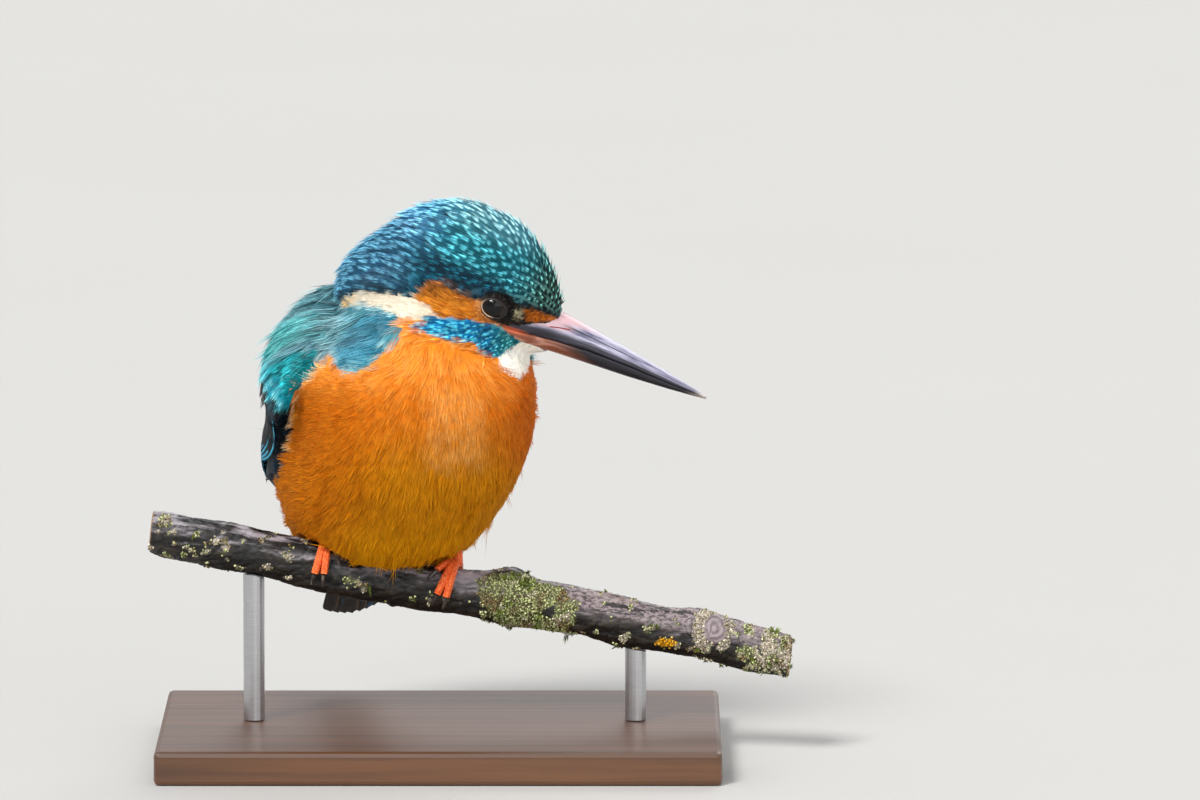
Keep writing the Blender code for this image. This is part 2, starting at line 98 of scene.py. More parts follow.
def within(outline, u, v, soft=0.15):  # 1 inside the closed outline, 0 outside, eased over its edge
    near = np.full(len(u), 1e9)
    inside = np.zeros(len(u), bool)
    for (x0, y0), (x1, y1) in zip(outline, outline[1:] + outline[:1]):
        dx, dy = x1 - x0, y1 - y0
        t = np.clip(((u - x0) * dx + (v - y0) * dy) / (dx * dx + dy * dy), 0, 1)
        near = np.minimum(near, np.hypot(u - x0 - t * dx, v - y0 - t * dy))
        crosses = (y0 > v) != (y1 > v)
        with np.errstate(divide="ignore", invalid="ignore"):
            inside ^= crosses & (u < x0 + (v - y0) * dx / (dy if dy else 1e-9))
    return ramp(np.where(inside, near, -near), -soft, soft)


pose = {
    "bodyMiddle": (-8.2, 2.0, 74.6), "bodyAlong": (0.250, -0.687, 0.682), "bodyRight": (-0.940, -0.342, 0.0),
    "headMiddle": (14.1, -13.0, 110.7), "headAlong": (0.918, -0.064, -0.391), "headUp": (0.387, -0.149, 0.914),
    "sideTilt": 8.0,
}
bodyMiddle = np.array(pose["bodyMiddle"])
bodyAlong = unit(pose["bodyAlong"])
bodyRight = unit(pose["bodyRight"])
bodyBack = np.cross(bodyRight, bodyAlong)
headMiddle = np.array(pose["headMiddle"])
headAlong = unit(pose["headAlong"])
headUp = unit(np.array(pose["headUp"]) - np.dot(pose["headUp"], headAlong) * headAlong)
headRight = np.cross(headAlong, headUp)


def inBody(p):
    q = p - bodyMiddle
    return q @ bodyAlong, q @ bodyRight, q @ bodyBack


def inHead(p):
    q = p - headMiddle
    return q @ headAlong, q @ headRight, q @ headUp


def headPlace(s, side, t):
    return headMiddle + headAlong * s + headRight * side + headUp * t


def sideOn(p):  # forwards and up from the head's middle, as the right side is looked at
    tilt = math.radians(pose["sideTilt"])
    q = p - headMiddle
    return q[:, 0], q[:, 2] * math.cos(tilt) + q[:, 1] * math.sin(tilt)


studio = {
    "distance": 2.5, "aim": (0.0376, 0.0, 0.0844), "lens": 319.1,
    # strength, softness in degrees, and where it comes from
    "key": (2.9, 18.0, (-0.62, -0.95, 1.15)), "fill": (1.15, 60.0, (0.7, -1.2, 0.12)),
    "rim": (0.9, 30.0, (0.3, 1.0, 0.8)), "sky": 0.58, "floorTone": "c2c0bc",
    "glint": (1.6, 0.12, (-0.30, -1.25, 0.95)),
}


def buildStudio():
    tilt = math.radians(pose["sideTilt"])
    aim = Vector(studio["aim"])
    lens = bpy.data.cameras.new("studioCamera")
    lens.lens = studio["lens"]
    lens.sensor_width = 36
    lens.clip_start, lens.clip_end = 0.05, 50
    camera = bpy.data.objects.new("studioCamera", lens)
    camera.location = aim + studio["distance"] * Vector((0, -math.cos(tilt), math.sin(tilt)))
    camera.rotation_euler = (math.pi / 2 - tilt, 0, 0)
    scene.collection.objects.link(camera)
    scene.camera = camera
    for name in ("key", "fill", "rim"):
        power, softness, place = studio[name]
        light = bpy.data.lights.new(name + "Light", "SUN")
        light.energy, light.angle = power, math.radians(softness)
        lamp = bpy.data.objects.new(name + "Light", light)
        lamp.location = place
        lamp.rotation_euler = (-Vector(place)).to_track_quat("-Z", "Y").to_euler()
        scene.collection.objects.link(lamp)
    power, size, place = studio["glint"]  # a small lamp for the spark in the eye
    light = bpy.data.lights.new("glintLight", "AREA")
    light.energy, light.size = power, size
    lamp = bpy.data.objects.new("glintLight", light)
    lamp.location = place
    lamp.rotation_euler = (aim - Vector(place)).to_track_quat("-Z", "Y").to_euler()
    scene.collection.objects.link(lamp)
    world = bpy.data.worlds.new("studioSky")
    world.use_nodes = True
    sky = world.node_tree.nodes["Background"]
    sky.inputs["Color"].default_value = (0.93, 0.96, 1.0, 1)
    sky.inputs["Strength"].default_value = studio["sky"]
    scene.world = world
    scene.view_settings.view_transform = "Standard"
    floorMesh = bpy.data.meshes.new("floor")
    floorMesh.from_pydata([(-60, -60, 0), (60, -60, 0), (60, 60, 0), (-60, 60, 0)], [], [(0, 1, 2, 3)])
    floor = bpy.data.objects.new("floor", floorMesh)
    scene.collection.objects.link(floor)
    finish, board, shader = newFinish("floorPaper", {"Roughness": 0.9})
    board.feed(shader, "Base Color", board.mix(studio["floorTone"], "bebcb8", board.noise(3.0)))
    floorMesh.materials.append(finish)


class Wire:  # one socket of a node tree, with arithmetic
    def __init__(self, board, socket):
        self.board, self.socket = board, socket

    def maths(self, operation, a, b=None):
        return self.board.add("ShaderNodeMath", {"operation": operation}, {0: a} if b is None else {0: a, 1: b})

    def __add__(self, other):
        return self.maths("ADD", self, other)

    def __sub__(self, other):
        return self.maths("SUBTRACT", self, other)

    def __mul__(self, other):
        return self.maths("MULTIPLY", self, other)

    def __pow__(self, other):
        return self.maths("POWER", self, other)

    def __rsub__(self, other):
        return self.maths("SUBTRACT", other, self)

    def __rtruediv__(self, other):
        return self.maths("DIVIDE", other, self)

    def __abs__(self):
        return self.maths("ABSOLUTE", self)

    __radd__ = __add__
    __rmul__ = __mul__


class Board:  # a node tree that is being wired
    def __init__(self, tree):
        self.tree = tree

    def add(self, kind, settings=None, sockets=None, out=0):
        node = self.tree.nodes.new(kind)
        for name, value in (settings or {}).items():
            setattr(node, name, value)
        for name, value in (sockets or {}).items():
            self.feed(node, name, value)
        return Wire(self, node.outputs[out])

    def feed(self, node, name, value):
        socket = node.inputs[name]
        if isinstance(value, Wire):
            self.tree.links.new(value.socket, socket)
        elif isinstance(value, np.ndarray) and len(value) == 3 and len(socket.default_value) == 4:
            socket.default_value = (*value, 1)
        else:
            socket.default_value = value

    def mix(self, a, b, factor):  # from one colour to another, each a wire or a screen code
        a, b = [ink(c) if isinstance(c, str) else c for c in (a, b)]
        return self.add("ShaderNodeMix", {"data_type": "RGBA"}, {0: factor, 6: a, 7: b}, 2)

    def dim(self, colour, value):
        return self.add("ShaderNodeVectorMath", {"operation": "SCALE"}, {0: colour, 3: value})

    def band(self, value, low, high):  # 0 at low, 1 at high, eased between
        return self.add("ShaderNodeMapRange", {"interpolation_type": "SMOOTHSTEP"}, {0: value, 1: low, 2: high})

    def random(self, low, high, seed, kind="FLOAT"):  # a value for each tuft
        first, out = (2, 1) if kind == "FLOAT" else (4, 2)
        return self.add("FunctionNodeRandomValue", {"data_type": kind},
                        {first: low, first + 1: high, "Seed": seed}, out)

    def own(self, name, out="Fac"):  # an attribute of the piece
        return self.add("ShaderNodeAttribute", {"attribute_name": name}, {}, out)

    def place(self, scale=(1, 1, 1), turn=(0, 0, 0)):
        spot = self.add("ShaderNodeTexCoord", {}, {}, "Object")
        if any(turn):
            spot = self.add("ShaderNodeMapping", {}, {"Vector": spot, "Rotation": turn})
        return self.add("ShaderNodeMapping", {}, {"Vector": spot, "Scale": scale})

    def noise(self, scale, detail=3.0, where=None, roughness=0.55):
        where = where or self.place()
        return self.add("ShaderNodeTexNoise", {}, {"Vector": where, "Scale": scale, "Detail": detail,
                                                   "Roughness": roughness}, "Fac")

    def bump(self, height, strength, distance=0.0003):
        return self.add("ShaderNodeBump", {}, {"Strength": strength, "Distance": distance, "Height": height})


def newFinish(name, constants):
    finish = bpy.data.materials.new(name)
    finish.use_nodes = True
    board = Board(finish.node_tree)
    shader = finish.node_tree.nodes["Principled BSDF"]
    for socket, value in constants.items():
        board.feed(shader, socket, value)
    return finish, board, shader


# closed outlines in mm from the head's middle, as the right side is looked at; the left side mirrors them
markingLines = {
    "ear": ((-20.0, 0.6), (-17.6, 3.6), (-15.5, 4.0), (-12.2, 2.8), (-8.9, 0.7), (-6.2, -1.0), (-4.1, -3.7),
            (-2.5, -5.2), (-4.1, -6.4), (-6.2, -5.3), (-11.4, -5.3), (-16.0, -4.7), (-17.0, -2.6), (-20.0, -0.4)),
    "napePatch": ((-37.6, -1.9), (-35.8, -0.3), (-33.6, 1.1), (-30.0, 1.6), (-25.0, 0.7), (-19.7, 0.8),
                  (-16.7, -2.6), (-15.7, -4.9), (-19.7, -5.6), (-23.5, -4.7), (-28.0, -2.9), (-32.5, -1.9),
                  (-37.7, -2.6)),
    "malar": ((-20.8, -7.4), (-17.0, -5.3), (-14.6, -5.2), (-7.3, -5.2), (-5.2, -6.1), (-3.1, -5.6), (-0.3, -6.9),
              (2.3, -8.3), (5.1, -9.4), (5.1, -10.7), (2.3, -12.3), (-0.3, -14.5), (-2.5, -14.2), (-4.7, -13.1),
              (-7.3, -11.0), (-10.6, -10.2), (-14.9, -9.6)),
    "throat": ((-0.5, -13.9), (2.3, -12.0), (5.1, -10.4), (11.7, -12.3), (13.2, -13.1), (10.2, -14.5), (7.3, -15.8),
               (6.4, -18.0), (4.0, -19.9), (1.9, -18.0), (0.0, -15.3)),
    "crown": ((-39.0, -2.2), (-36.0, -0.1), (-33.7, 1.3), (-30.0, 1.8), (-25.0, 0.9), (-20.4, 0.7),
              (-17.9, 3.7), (-15.5, 4.2), (-12.2, 3.0), (-8.9, 0.9), (-6.1, -1.0), (-3.8, -0.8), (-1.2, 0.1),
              (1.6, -1.0), (4.7, -2.4), (9.4, -3.6), (13.2, -5.0), (14.8, -6.2), (17.6, -0.8),
              (14.1, 25.1), (-14.1, 29.8), (-37.6, 22.7), (-44.6, 3.9)),
    "lore": ((-4.2, -0.8), (-1.2, 0.2), (1.6, -0.8), (4.7, -2.2), (9.4, -3.6), (13.2, -4.7), (14.6, -5.9),
             (13.6, -6.6), (7.8, -7.0), (0.9, -7.2), (-0.7, -6.2), (-3.1, -5.5)),
    "cream": ((2.9, -3.0), (5.1, -2.7), (4.9, -5.2), (3.2, -5.1)),
    "rufous": ((5.4, -2.9), (9.4, -3.7), (13.2, -4.9), (14.1, -6.2), (10.6, -5.7), (6.1, -5.8)),
    "flankOver": ((-38.0, -12.0), (-41.4, -15.3), (-44.4, -16.8), (-45.9, -18.9), (-48.5, -19.9), (-49.3, -23.0),
                  (-49.6, -27.1), (-49.8, -30.1), (-50.8, -35.3), (-51.7, -40.6), (-54.6, -45.6), (-62.0, -47.0),
                  (-62.0, -70.0), (10.0, -70.0), (10.0, -12.0)),
    "wingEdge": ((-49.2, -23.0), (-49.6, -27.1), (-49.8, -30.1), (-50.8, -35.3), (-51.7, -40.6), (-54.6, -45.6),
                 (-62.0, -47.0), (-62.0, -23.0)),
    "fringe": ((-41.0, -14.7), (-44.8, -16.3), (-46.4, -18.4), (-49.0, -19.6), (-49.9, -23.0), (-50.2, -27.1),
               (-50.5, -30.5), (-51.3, -36.0), (-49.8, -36.0), (-48.9, -30.0), (-48.3, -26.0), (-47.2, -22.4),
               (-44.6, -20.2), (-42.8, -17.6), (-41.0, -16.2)),
    "shoulder": ((-25.4, -5.0), (-27.3, -10.2), (-32.4, -15.8), (-37.6, -17.2), (-38.1, -11.3), (-36.4, -6.6),
                 (-31.7, -3.6)),
}
# along the body: the turn from its right side where the orange ends and the blue begins, in degrees
upperEdge = [(-60, 38), (-40, 34), (-28, 24), (-12, 14), (0, 7), (18, 3), (22, 6), (25, 13), (28.2, 14),
             (29.2, 3), (31, -5), (34, -6), (36, 3), (38, 12), (39.5, 24), (41, 33), (42, 38), (46, 55), (60, 62)]
billOpening = [(3.0, -3.5, -3.9), (6.0, -2.6, -4.6), (9.8, -1.2, -5.2), (13.5, 0.1, -5.6), (15.5, 1.0, -5.7),
               (17.2, 3.0, -6.0), (30.0, 9.0, -9.0)]  # along the head: top and bottom of the bare bill


def tailMiddle(along):  # how far back the tail's middle lies
    return -0.5 + np.tan(math.radians(-4.0)) * (-39.0 - along)


def markings(p, part):
    # masks of every zone at the points p (mm), and where each lies
    s, side, t = inHead(p)
    mirrored = p - 2 * np.minimum(side, 0)[:, None] * headRight
    u, v = sideOn(mirrored)
    along, lateral, back = inBody(p)
    turn = np.degrees(np.arctan2(back, np.abs(lateral)))
    headSide = np.abs(side)
    zones = {name: within(list(line), u, v) for name, line in markingLines.items()}
    besideU, besideV = sideOn(p - 2 * np.minimum(lateral, 0)[:, None] * bodyRight)
    for name in ("flankOver", "wingEdge", "fringe"):
        zones[name] = within(list(markingLines[name]), besideU, besideV)
    onHead = ramp(np.minimum(s + 40, t + 34), 0, 2) * ramp(along, 27, 30)
    for name in ("ear", "malar", "lore", "cream", "rufous"):
        zones[name] = zones[name] * ramp(headSide, 2.0, 3.5) * onHead
    zones["napePatch"] = zones["napePatch"] * ramp(headSide, 4.0, 6.0) * onHead
    chin = ramp(u, 2.4, 3.4) * ramp(v, -16.3, -14.8) * ramp(t, -5, -7)
    zones["throat"] = np.maximum(zones["throat"], chin) * onHead
    zones["crown"] = zones["crown"] * onHead
    zones["crownEdge"] = zones["crown"] * ramp(within(list(markingLines["crown"]), u, v, 3.0), 0.9, 0.6) * (
        v < 8)
    edge = rowsAt(upperEdge, along)[0]
    upper = ramp(turn - edge, -2.5, 2.5)
    upper = np.where(along > 44, np.maximum(upper * ramp(s, -14, -20), zones["crown"]), upper)
    lowWing = (turn < 24) & (along < 27)
    upper = upper * (1 - zones["flankOver"] * lowWing * (along > -12))
    zones["upper"] = upper
    zones["shoulder"] = zones["shoulder"] * upper * ramp(back, 12, 9)
    zones["stripe"] = upper * ramp(np.abs(lateral), 8.5, 6.0) * ramp(back, 5, 9) * ramp(along, 30, 22)
    zones["wing"] = np.where(part == "wing", 1 - zones["flankOver"] * lowWing,
                             zones["wingEdge"] * lowWing * (back > -2.5) * (part == "body"))
    # where the coverts end and the bare quills begin, by the turn round the body
    coverts = rowsAt([(-20, 15), (6, 14), (20, 8), (40, -6), (80, -12)], turn)[0]
    zones["coverts"] = zones["wing"] * (along > coverts)
    zones["covertTips"] = zones["wing"] * ramp(along - coverts, 5.5, 3.0) * (along > coverts - 1)
    zones["covertTips"] = zones["covertTips"] * ramp(turn, 40, 25)
    edge = rowsAt([(-10, 30), (13, 29), (15.5, 24), (17, 17), (20, 14), (25, 12.5), (46, 10), (52, -12), (80, -14)],
                  turn)[0]
    zones["scapular"] = zones["wing"] * ramp(along - edge, -0.8, 0.8)
    # a brighter cyan band along the wing's upper outline: painted highlight
    zones["outer"] = zones["scapular"] * ramp(turn, 19, 22) * ramp(turn, 36, 31) * ramp(along, 27, 22)
    blue = upper * (1 - zones["wing"]) * (1 - zones["stripe"]) * (1 - zones["crown"])
    blue = np.maximum(zones["scapular"], blue)
    zones["greyed"] = np.zeros(len(p))
    for k in np.nonzero(blue > 0.3)[0]:
        drift = noise.noise(Vector((turn[k] * 0.22 + along[k] * 0.05, along[k] * 0.05, 3.0)))
        zones["greyed"][k] = 0.5 * blue[k] * min(1.0, max(0.0, 0.4 + 1.4 * drift)) * (turn[k] > 12)
    zones["fringe"] = zones["fringe"] * (1 - zones["wing"]) * (turn < 24) * (turn > -40)
    zones["quill"] = zones["wing"] * (1 - zones["coverts"])
    # pale streaks over the middle of the breast: painted highlight, the sheen on its barbs
    zones["streak"] = ramp(u, -19, -14) * ramp(u, -1, -6) * ramp(v, -44, -38) * ramp(v, -20, -26) * 0.4
    zones["tailTop"] = (part == "tail") * (back > tailMiddle(along)).astype(float)
    top, bottom = rowsAt(billOpening, s)
    zones["bill"] = ramp(top - t, -0.25, 0.1) * ramp(t - bottom, -0.25, 0.1) * ramp(s, 2.8, 3.2)
    # round the eye: across its opening, and the way from its middle, with the bill's way at 0 and up at 90
    across, rise, out = s * np.sign(headSide + 1), t - eye["up"], headSide - eye["out"]
    near = np.hypot(across / eye["opening"][0], rise / eye["opening"][1])
    wide = np.hypot(across, rise)
    beside = ramp(out, -1.5, 0.0)
    zones["eye"] = ramp(near, 1.32, 1.2) * beside
    aim = np.degrees(np.arctan2(rise, across))
    zones["orbit"] = ramp(wide, 4.7, 4.0) * beside * ramp(np.abs(aim - 75), 118, 96)
    zones["lash"] = ramp(wide, 4.5, 4.1) * beside * ramp(np.abs((aim + 130 + 180) % 360 - 180), 62, 45)
    zones["s"], zones["t"], zones["side"], zones["turn"] = s, t, side, turn
    zones["along"], zones["back"], zones["lateral"], zones["u"], zones["v"] = along, back, lateral, u, v
    zones["besideU"] = besideU
    return zones


eye = {"radius": 3.6, "out": 10.1, "up": 0.3, "opening": (2.75, 2.05), "lid": 0.13, "rimWidth": 0.42}

plumage = {  # base and tip colour of each zone's feathers
    # the upper breast's pair is brighter than the breast's: painted light falling on it from above
    "breastLitTop": ("f08826", "ffb055"), "breast": ("cc680c", "da8629"), "belly": ("c87a04", "dc9416"),
    # the breast's front side is darker and redder: partly rufous plumage, partly painted shade
    "vent": ("de9204", "f6ac16"), "flank": ("b85902", "ca7008"), "rufousShadeSide": ("c25608", "d87424"),
    # the streak pair is the pale painted highlight on the breast's barbs
    "streak": ("e89234", "ffce80"), "fringe": ("e8902c", "fbe4b8"),
    "mantle": ("4f95a2", "bceaee"), "shoulder": ("136b82", "5ab0c8"), "stripe": ("0650a8", "20aef6"),
    "crownFront": ("10241c", "98ece0"), "crown": ("0a5e6c", "6ae2f2"), "crownTop": ("3c7a88", "c2faff"),
    "crownLow": ("042c3e", "16748e"), "nape": ("2e6c92", "94dcff"),
    # the earRoot pair is darker brown: partly the ear's own dark streaks, partly painted shade
    "ear": ("bf6816", "e8962f"), "earRoot": ("6a3c18", "b86a22"), "napePatch": ("e0d2b8", "f2e8d6"),
    "napeRear": ("d8a858", "f2cc88"), "malar": ("0070a6", "62e4ff"), "malarFront": ("06727e", "7cecf0"),
    "throat": ("fffbee", "ffffff"), "lore": ("1a1613", "3a322b"), "cream": ("867e60", "cabf98"),
    "rufous": ("94480c", "e07c1a"), "wing": ("067076", "38e0ea"), "tail": ("0c2c48", "1f6ea0"),
    # the outer pair is the brighter cyan of the painted highlight along the wing's upper outline
    "quill": ("070b0e", "123a50"), "scapular": ("2a6e7a", "8cd0d6"), "outer": ("1c848c", "7cece6"),
    "covertTip": ("0094a8", "9cf8ff"), "crownEdge": ("061c24", "164e66"),
    "greyed": ("4a5e6c", "8c9aa8"), "undertail": ("b0601a", "cc7c28"), "tailUnder": ("241608", "4e3820"),
    "orbit": ("100e0d", "241f1c"), "lash": ("b8661e", "eeb878"),
}


def tones(z, part):
    # base and tip colour at each point: every row's colour is laid over those before it, where its mask is
    tail = (part == "tail") * 1.0
    layers = [
        # the upper breast made brighter: painted light from above
        (ramp(z["v"], -28, -15), "breastLitTop"),
        (ramp(z["v"], -28, -46), "belly"),
        (ramp(z["v"], -50, -62), "vent"),
        # the breast's front side darker and redder: partly rufous plumage, partly painted shade
        (0.8 * ramp(z["u"], -4, 8) * ramp(z["v"], -52, -32) * ramp(z["v"], -9, -15), "rufousShadeSide"),
        (0.7 * ramp(z["lateral"], 12, 26) * ramp(z["v"], -13, -28), "flank"),
        # pale streaks on the mid breast: painted highlight on the barbs
        (z["streak"], "streak"),
        (tail, "undertail"),
        (tail * ramp(z["along"], -50, -56), "tailUnder"),
        (z["upper"], "mantle"),
        (z["shoulder"], "shoulder"),
        (z["stripe"], "stripe"),
        (z["wing"], "wing"),
        (z["quill"], "quill"),
        (z["scapular"], "scapular"),
        (z["greyed"], "greyed"),
        # the wing's upper outline made brighter cyan: painted highlight
        (0.85 * z["outer"], "outer"),
        (z["covertTips"], "covertTip"),
        (z["fringe"], "fringe"),
        (z["tailTop"], "tail"),
        (z["tailTop"] * ramp(z["along"], -62, -50), "stripe"),
        (z["throat"], "throat"),
        (z["malar"], "malar"),
        (z["malar"] * ramp(z["u"], -5, 1), "malarFront"),
        (z["napePatch"], "napePatch"),
        (z["napePatch"] * ramp(z["u"], -32.5, -37.5), "napeRear"),
        (z["ear"], "ear"),
        # the ear darker brown along its upper edge: partly its own dark streaks, partly painted shade
        (z["ear"] * ramp(z["v"], -1, 3), "earRoot"),
        (z["crown"], "crown"),
        (z["crown"] * ramp(z["t"], 12, 17.5), "crownTop"),
        (z["crown"] * ramp(z["s"], 0, 10), "crownFront"),
        (z["crown"] * ramp(z["s"], -14, -26), "nape"),
        (z["crown"] * ramp(z["t"], 9, 5) * ramp(z["s"], 2, -3) * (1 - 0.45 * ramp(z["s"], -16, -26)), "crownLow"),
        (0.85 * z["crownEdge"], "crownEdge"),
        (0.8 * z["crownEdge"] * ramp(z["u"], -12, -6), "orbit"),
        (z["lore"], "lore"),
        (z["cream"], "cream"),
        (z["rufous"], "rufous"),
        (z["orbit"], "orbit"),
        (z["lash"], "lash"),
    ]
    out = []
    for k in (0, 1):
        colours = np.tile(ink(plumage["breast"][k]), (len(part), 1))
        for mask, name in layers:
            colours = paint(colours, mask, plumage[name][k])
        out.append(colours)
    return out


def liesOf(z, normal):
    # the way the feathers lie at each point, along the surface
    n = len(z["s"])
    sign = np.sign(z["lateral"])[:, None]
    body = np.tile(-bodyAlong, (n, 1))
    blue = np.clip(z["upper"] + z["wing"], 0, 1)[:, None]
    sweep = ramp(np.abs(z["lateral"]), 10, 30)[:, None] * ramp(z["turn"], -75, -10)[:, None] * (1 - blue)
    body = body + 0.75 * sweep * bodyBack - 0.15 * sweep * sign * bodyRight
    outwards = ramp(z["along"], 10, 26) * ramp(np.abs(z["lateral"]), 3, 12) * ramp(np.abs(z["lateral"]), 34, 22)
    body = body + z["upper"][:, None] * (1.15 * outwards)[:, None] * sign * bodyRight
    body = body + z["fringe"][:, None] * (0.5 * bodyBack + 1.6 * sign * bodyRight)
    head = np.tile(-headAlong, (n, 1))
    down = z["malar"] * (0.45 + 0.5 * ramp(z["u"], -8, 2)) + z["throat"] * 2.2
    head = head - down[:, None] * headUp
    head = head + (z["ear"] * ramp(z["v"], -4, 2) * 0.6)[:, None] * headUp
    head = head - (ramp(z["t"], 2, -14) * ramp(z["s"], -14, -30) * 0.8)[:, None] * headUp
    onHead = ramp(z["t"], -12, -7) * ramp(z["along"], 34, 40) * (1 - z["upper"])
    onHead = onHead + z["crown"] + z["ear"] + z["malar"] + z["napePatch"] + z["throat"] + z["lore"]
    onHead = np.clip(onHead, 0, 1)[:, None]
    lie = unit(body) * (1 - onHead) + unit(head) * onHead
    lie = lie - (lie * normal).sum(1)[:, None] * normal
    return unit(lie)


bill = {
    # along, culmen, mouth line, lower edge, half width
    "rows": [(2.6, -1.0, -3.75, -5.4, 9.2), (4.5, 0.6, -3.8, -6.0, 9.4), (6.5, 1.4, -3.85, -6.6, 8.7),
             (9.0, 1.9, -3.8, -7.0, 7.7), (12.0, 2.3, -3.6, -7.15, 6.2), (15.0, 2.5, -3.4, -7.1, 5.05),
             (19.0, 2.15, -3.1, -6.8, 4.4), (24.0, 1.6, -2.6, -6.4, 3.8), (34.6, 0.4, -2.5, -5.5, 2.7),
             (44.3, -0.9, -2.7, -4.4, 1.6), (51.0, -1.9, -2.75, -3.5, 0.75), (53.8, -2.45, -2.75, -3.05, 0.3)],
    "gap": 0.12, "stations": 90, "nostril": (14.0, 18.3, -0.35, 0.55),
}


def billFlank(s):  # how square the horn's section is: fuller at its root
    return 0.38 + 0.5 * ramp(s, 8, 18)


def billWidth(s, t):  # half width of the horn at a place along and up
    culmen, mouth, under, half = rowsAt(bill["rows"], s)
    peak = np.where(t > mouth, culmen, under)
    share = np.clip((t - peak) / np.where(np.abs(mouth - peak) < 0.05, 0.05, mouth - peak), 0, 1)
    level = 1 - share ** (1 / 0.95)
    return half * np.sqrt(np.maximum(1 - level ** 2, 0)) ** billFlank(s) * (s > 2.6)


skinSizes = {"voxel": 0.68, "bridge": 0.3, "bodyDepth": 1.1, "headDepth": 0.75, "thinDepth": 0.35, "smooth": 5}
fleshNodes = {"trunk": "body", "neck": "body", "head": "head", "wing_right": "wing", "wing_left": "wing",
              "tail": "tail"}


def cornersOf(mesh):  # the point that each corner of a face stands on
    corners = np.zeros(len(mesh.loops), np.int32)
    mesh.loops.foreach_get("vertex_index", corners)
    return corners


def placePoints(mesh, points):
    mesh.vertices.foreach_set("co", points.astype(np.float32).ravel())
    mesh.update()


def dress(mesh, finish):
    mesh.materials.clear()
    mesh.materials.append(finish)


def numbers(data, name, width=3):
    flat = np.zeros(len(data) * width, np.float32)
    data.foreach_get(name, flat)
    return flat.reshape(-1, width).astype(float) if width > 1 else flat.astype(float)


def newPiece(name, points, faces):
    mesh = bpy.data.meshes.new(name)
    mesh.from_pydata([tuple(p) for p in points], [], [tuple(f) for f in faces])
    mesh.update()
    mesh.shade_smooth()
    piece = bpy.data.objects.new(name, mesh)
    scene.collection.objects.link(piece)
    return piece


def keep(mesh, name, values, kind="FLOAT"):
    mark = mesh.attributes.get(name) or mesh.attributes.new(name, kind, "POINT")
    values = np.asarray(values, np.float32)
    if kind == "FLOAT_COLOR":
        values = np.concatenate([values, np.ones((len(values), 1), np.float32)], 1)
    mark.data.foreach_set({"FLOAT": "value", "FLOAT_COLOR": "color", "FLOAT_VECTOR": "vector"}[kind],
                          np.ascontiguousarray(values).ravel())


def evaluated(piece):  # the piece with its modifiers run, as a plain mesh
    bpy.context.view_layer.update()
    graph = bpy.context.evaluated_depsgraph_get()
    return bpy.data.meshes.new_from_object(piece.evaluated_get(graph))


def nodeMesh(name, grow=0.0):
    bm = bmesh.new()
    bm.from_mesh(nodes[name].data)
    bmesh.ops.remove_doubles(bm, verts=bm.verts, dist=1e-6)
    bm.normal_update()
    if grow:
        moves = [v.normal * grow for v in bm.verts]
        for v, move in zip(bm.verts, moves):
            v.co += move
    return bm


def fused(name, names, voxel, grow, rounds):
    whole = bpy.data.meshes.new(name)
    bm = bmesh.new()
    for node in names:
        part = nodeMesh(node, grow)
        held = bpy.data.meshes.new("held")
        part.to_mesh(held)
        part.free()
        bm.from_mesh(held)
        bpy.data.meshes.remove(held)
    bm.to_mesh(whole)
    bm.free()
    piece = bpy.data.objects.new(name, whole)
    scene.collection.objects.link(piece)
    melt = piece.modifiers.new("melt", "REMESH")
    melt.mode, melt.voxel_size = "VOXEL", voxel
    mesh = evaluated(piece)
    piece.modifiers.clear()
    piece.data = mesh
    soften(mesh, rounds)
    return piece


def soften(mesh, rounds, share=0.5):
    points = numbers(mesh.vertices, "co")
    edges = np.zeros(len(mesh.edges) * 2, np.int32)
    mesh.edges.foreach_get("vertices", edges)
    a, b = edges.reshape(-1, 2).T
    count = np.bincount(np.concatenate([a, b]), minlength=len(points))[:, None]
    for _ in range(rounds):
        total = np.zeros_like(points)
        for k in range(3):
            total[:, k] = (np.bincount(a, points[b, k], len(points)) + np.bincount(b, points[a, k], len(points)))
        points += share * (total / np.maximum(count, 1) - points)
    placePoints(mesh, points)


def treeOf(mesh):
    faces = [tuple(f.vertices) for f in mesh.polygons]
    return BVHTree.FromPolygons([v.co for v in mesh.vertices], faces)


def nodeTree(name):
    bm = nodeMesh(name)
    tree = BVHTree.FromBMesh(bm)
    bm.free()
    return tree


def hitFrom(tree, start, out, far):  # where a ray from outside meets the skin: place, normal and face
    hit, normal, face, _ = tree.ray_cast(Vector((start + out * far) / 1000), Vector(-out))
    return (np.array(hit) * 1000, np.array(normal), face) if hit is not None else None


def openEyes(points):
    # lids lie just over the eyeball, and inside their opening the skin falls back behind it
    for sign in (1, -1):
        centre = headPlace(0, sign * eye["out"], eye["up"])
        q = points - centre
        x, y, z = q @ headAlong, q @ headUp, q @ headRight * sign
        far = np.linalg.norm(q, axis=1)
        near = np.hypot(x / eye["opening"][0], y / eye["opening"][1])
        region = (far < 5.2) & (z > -1.0) & (near < 1.9)
        lifted = np.maximum(far, eye["radius"] + eye["lid"])
        wanted = np.where(near < 1.0, 2.7 + (lifted - 2.7) * ramp(near, 0.9, 1.0), lifted)
        points = np.where(region[:, None], centre + q / np.maximum(far, 1e-6)[:, None] * wanted[:, None], points)
    return points


def underBill(points):
    # in the bare opening the skin keeps inside the horn
    s, side, t = inHead(points)
    top, bottom = rowsAt(billOpening, s)
    bare = ramp(top - t, -0.1, 0.35) * ramp(t - bottom, -0.1, 0.35) * ramp(s, 2.9, 3.4)
    limit = billWidth(s, t) - 0.45
    kept = np.where(np.abs(side) > limit, np.sign(side) * np.maximum(limit, 0), side)
    return points + (bare * (kept - side))[:, None] * headRight


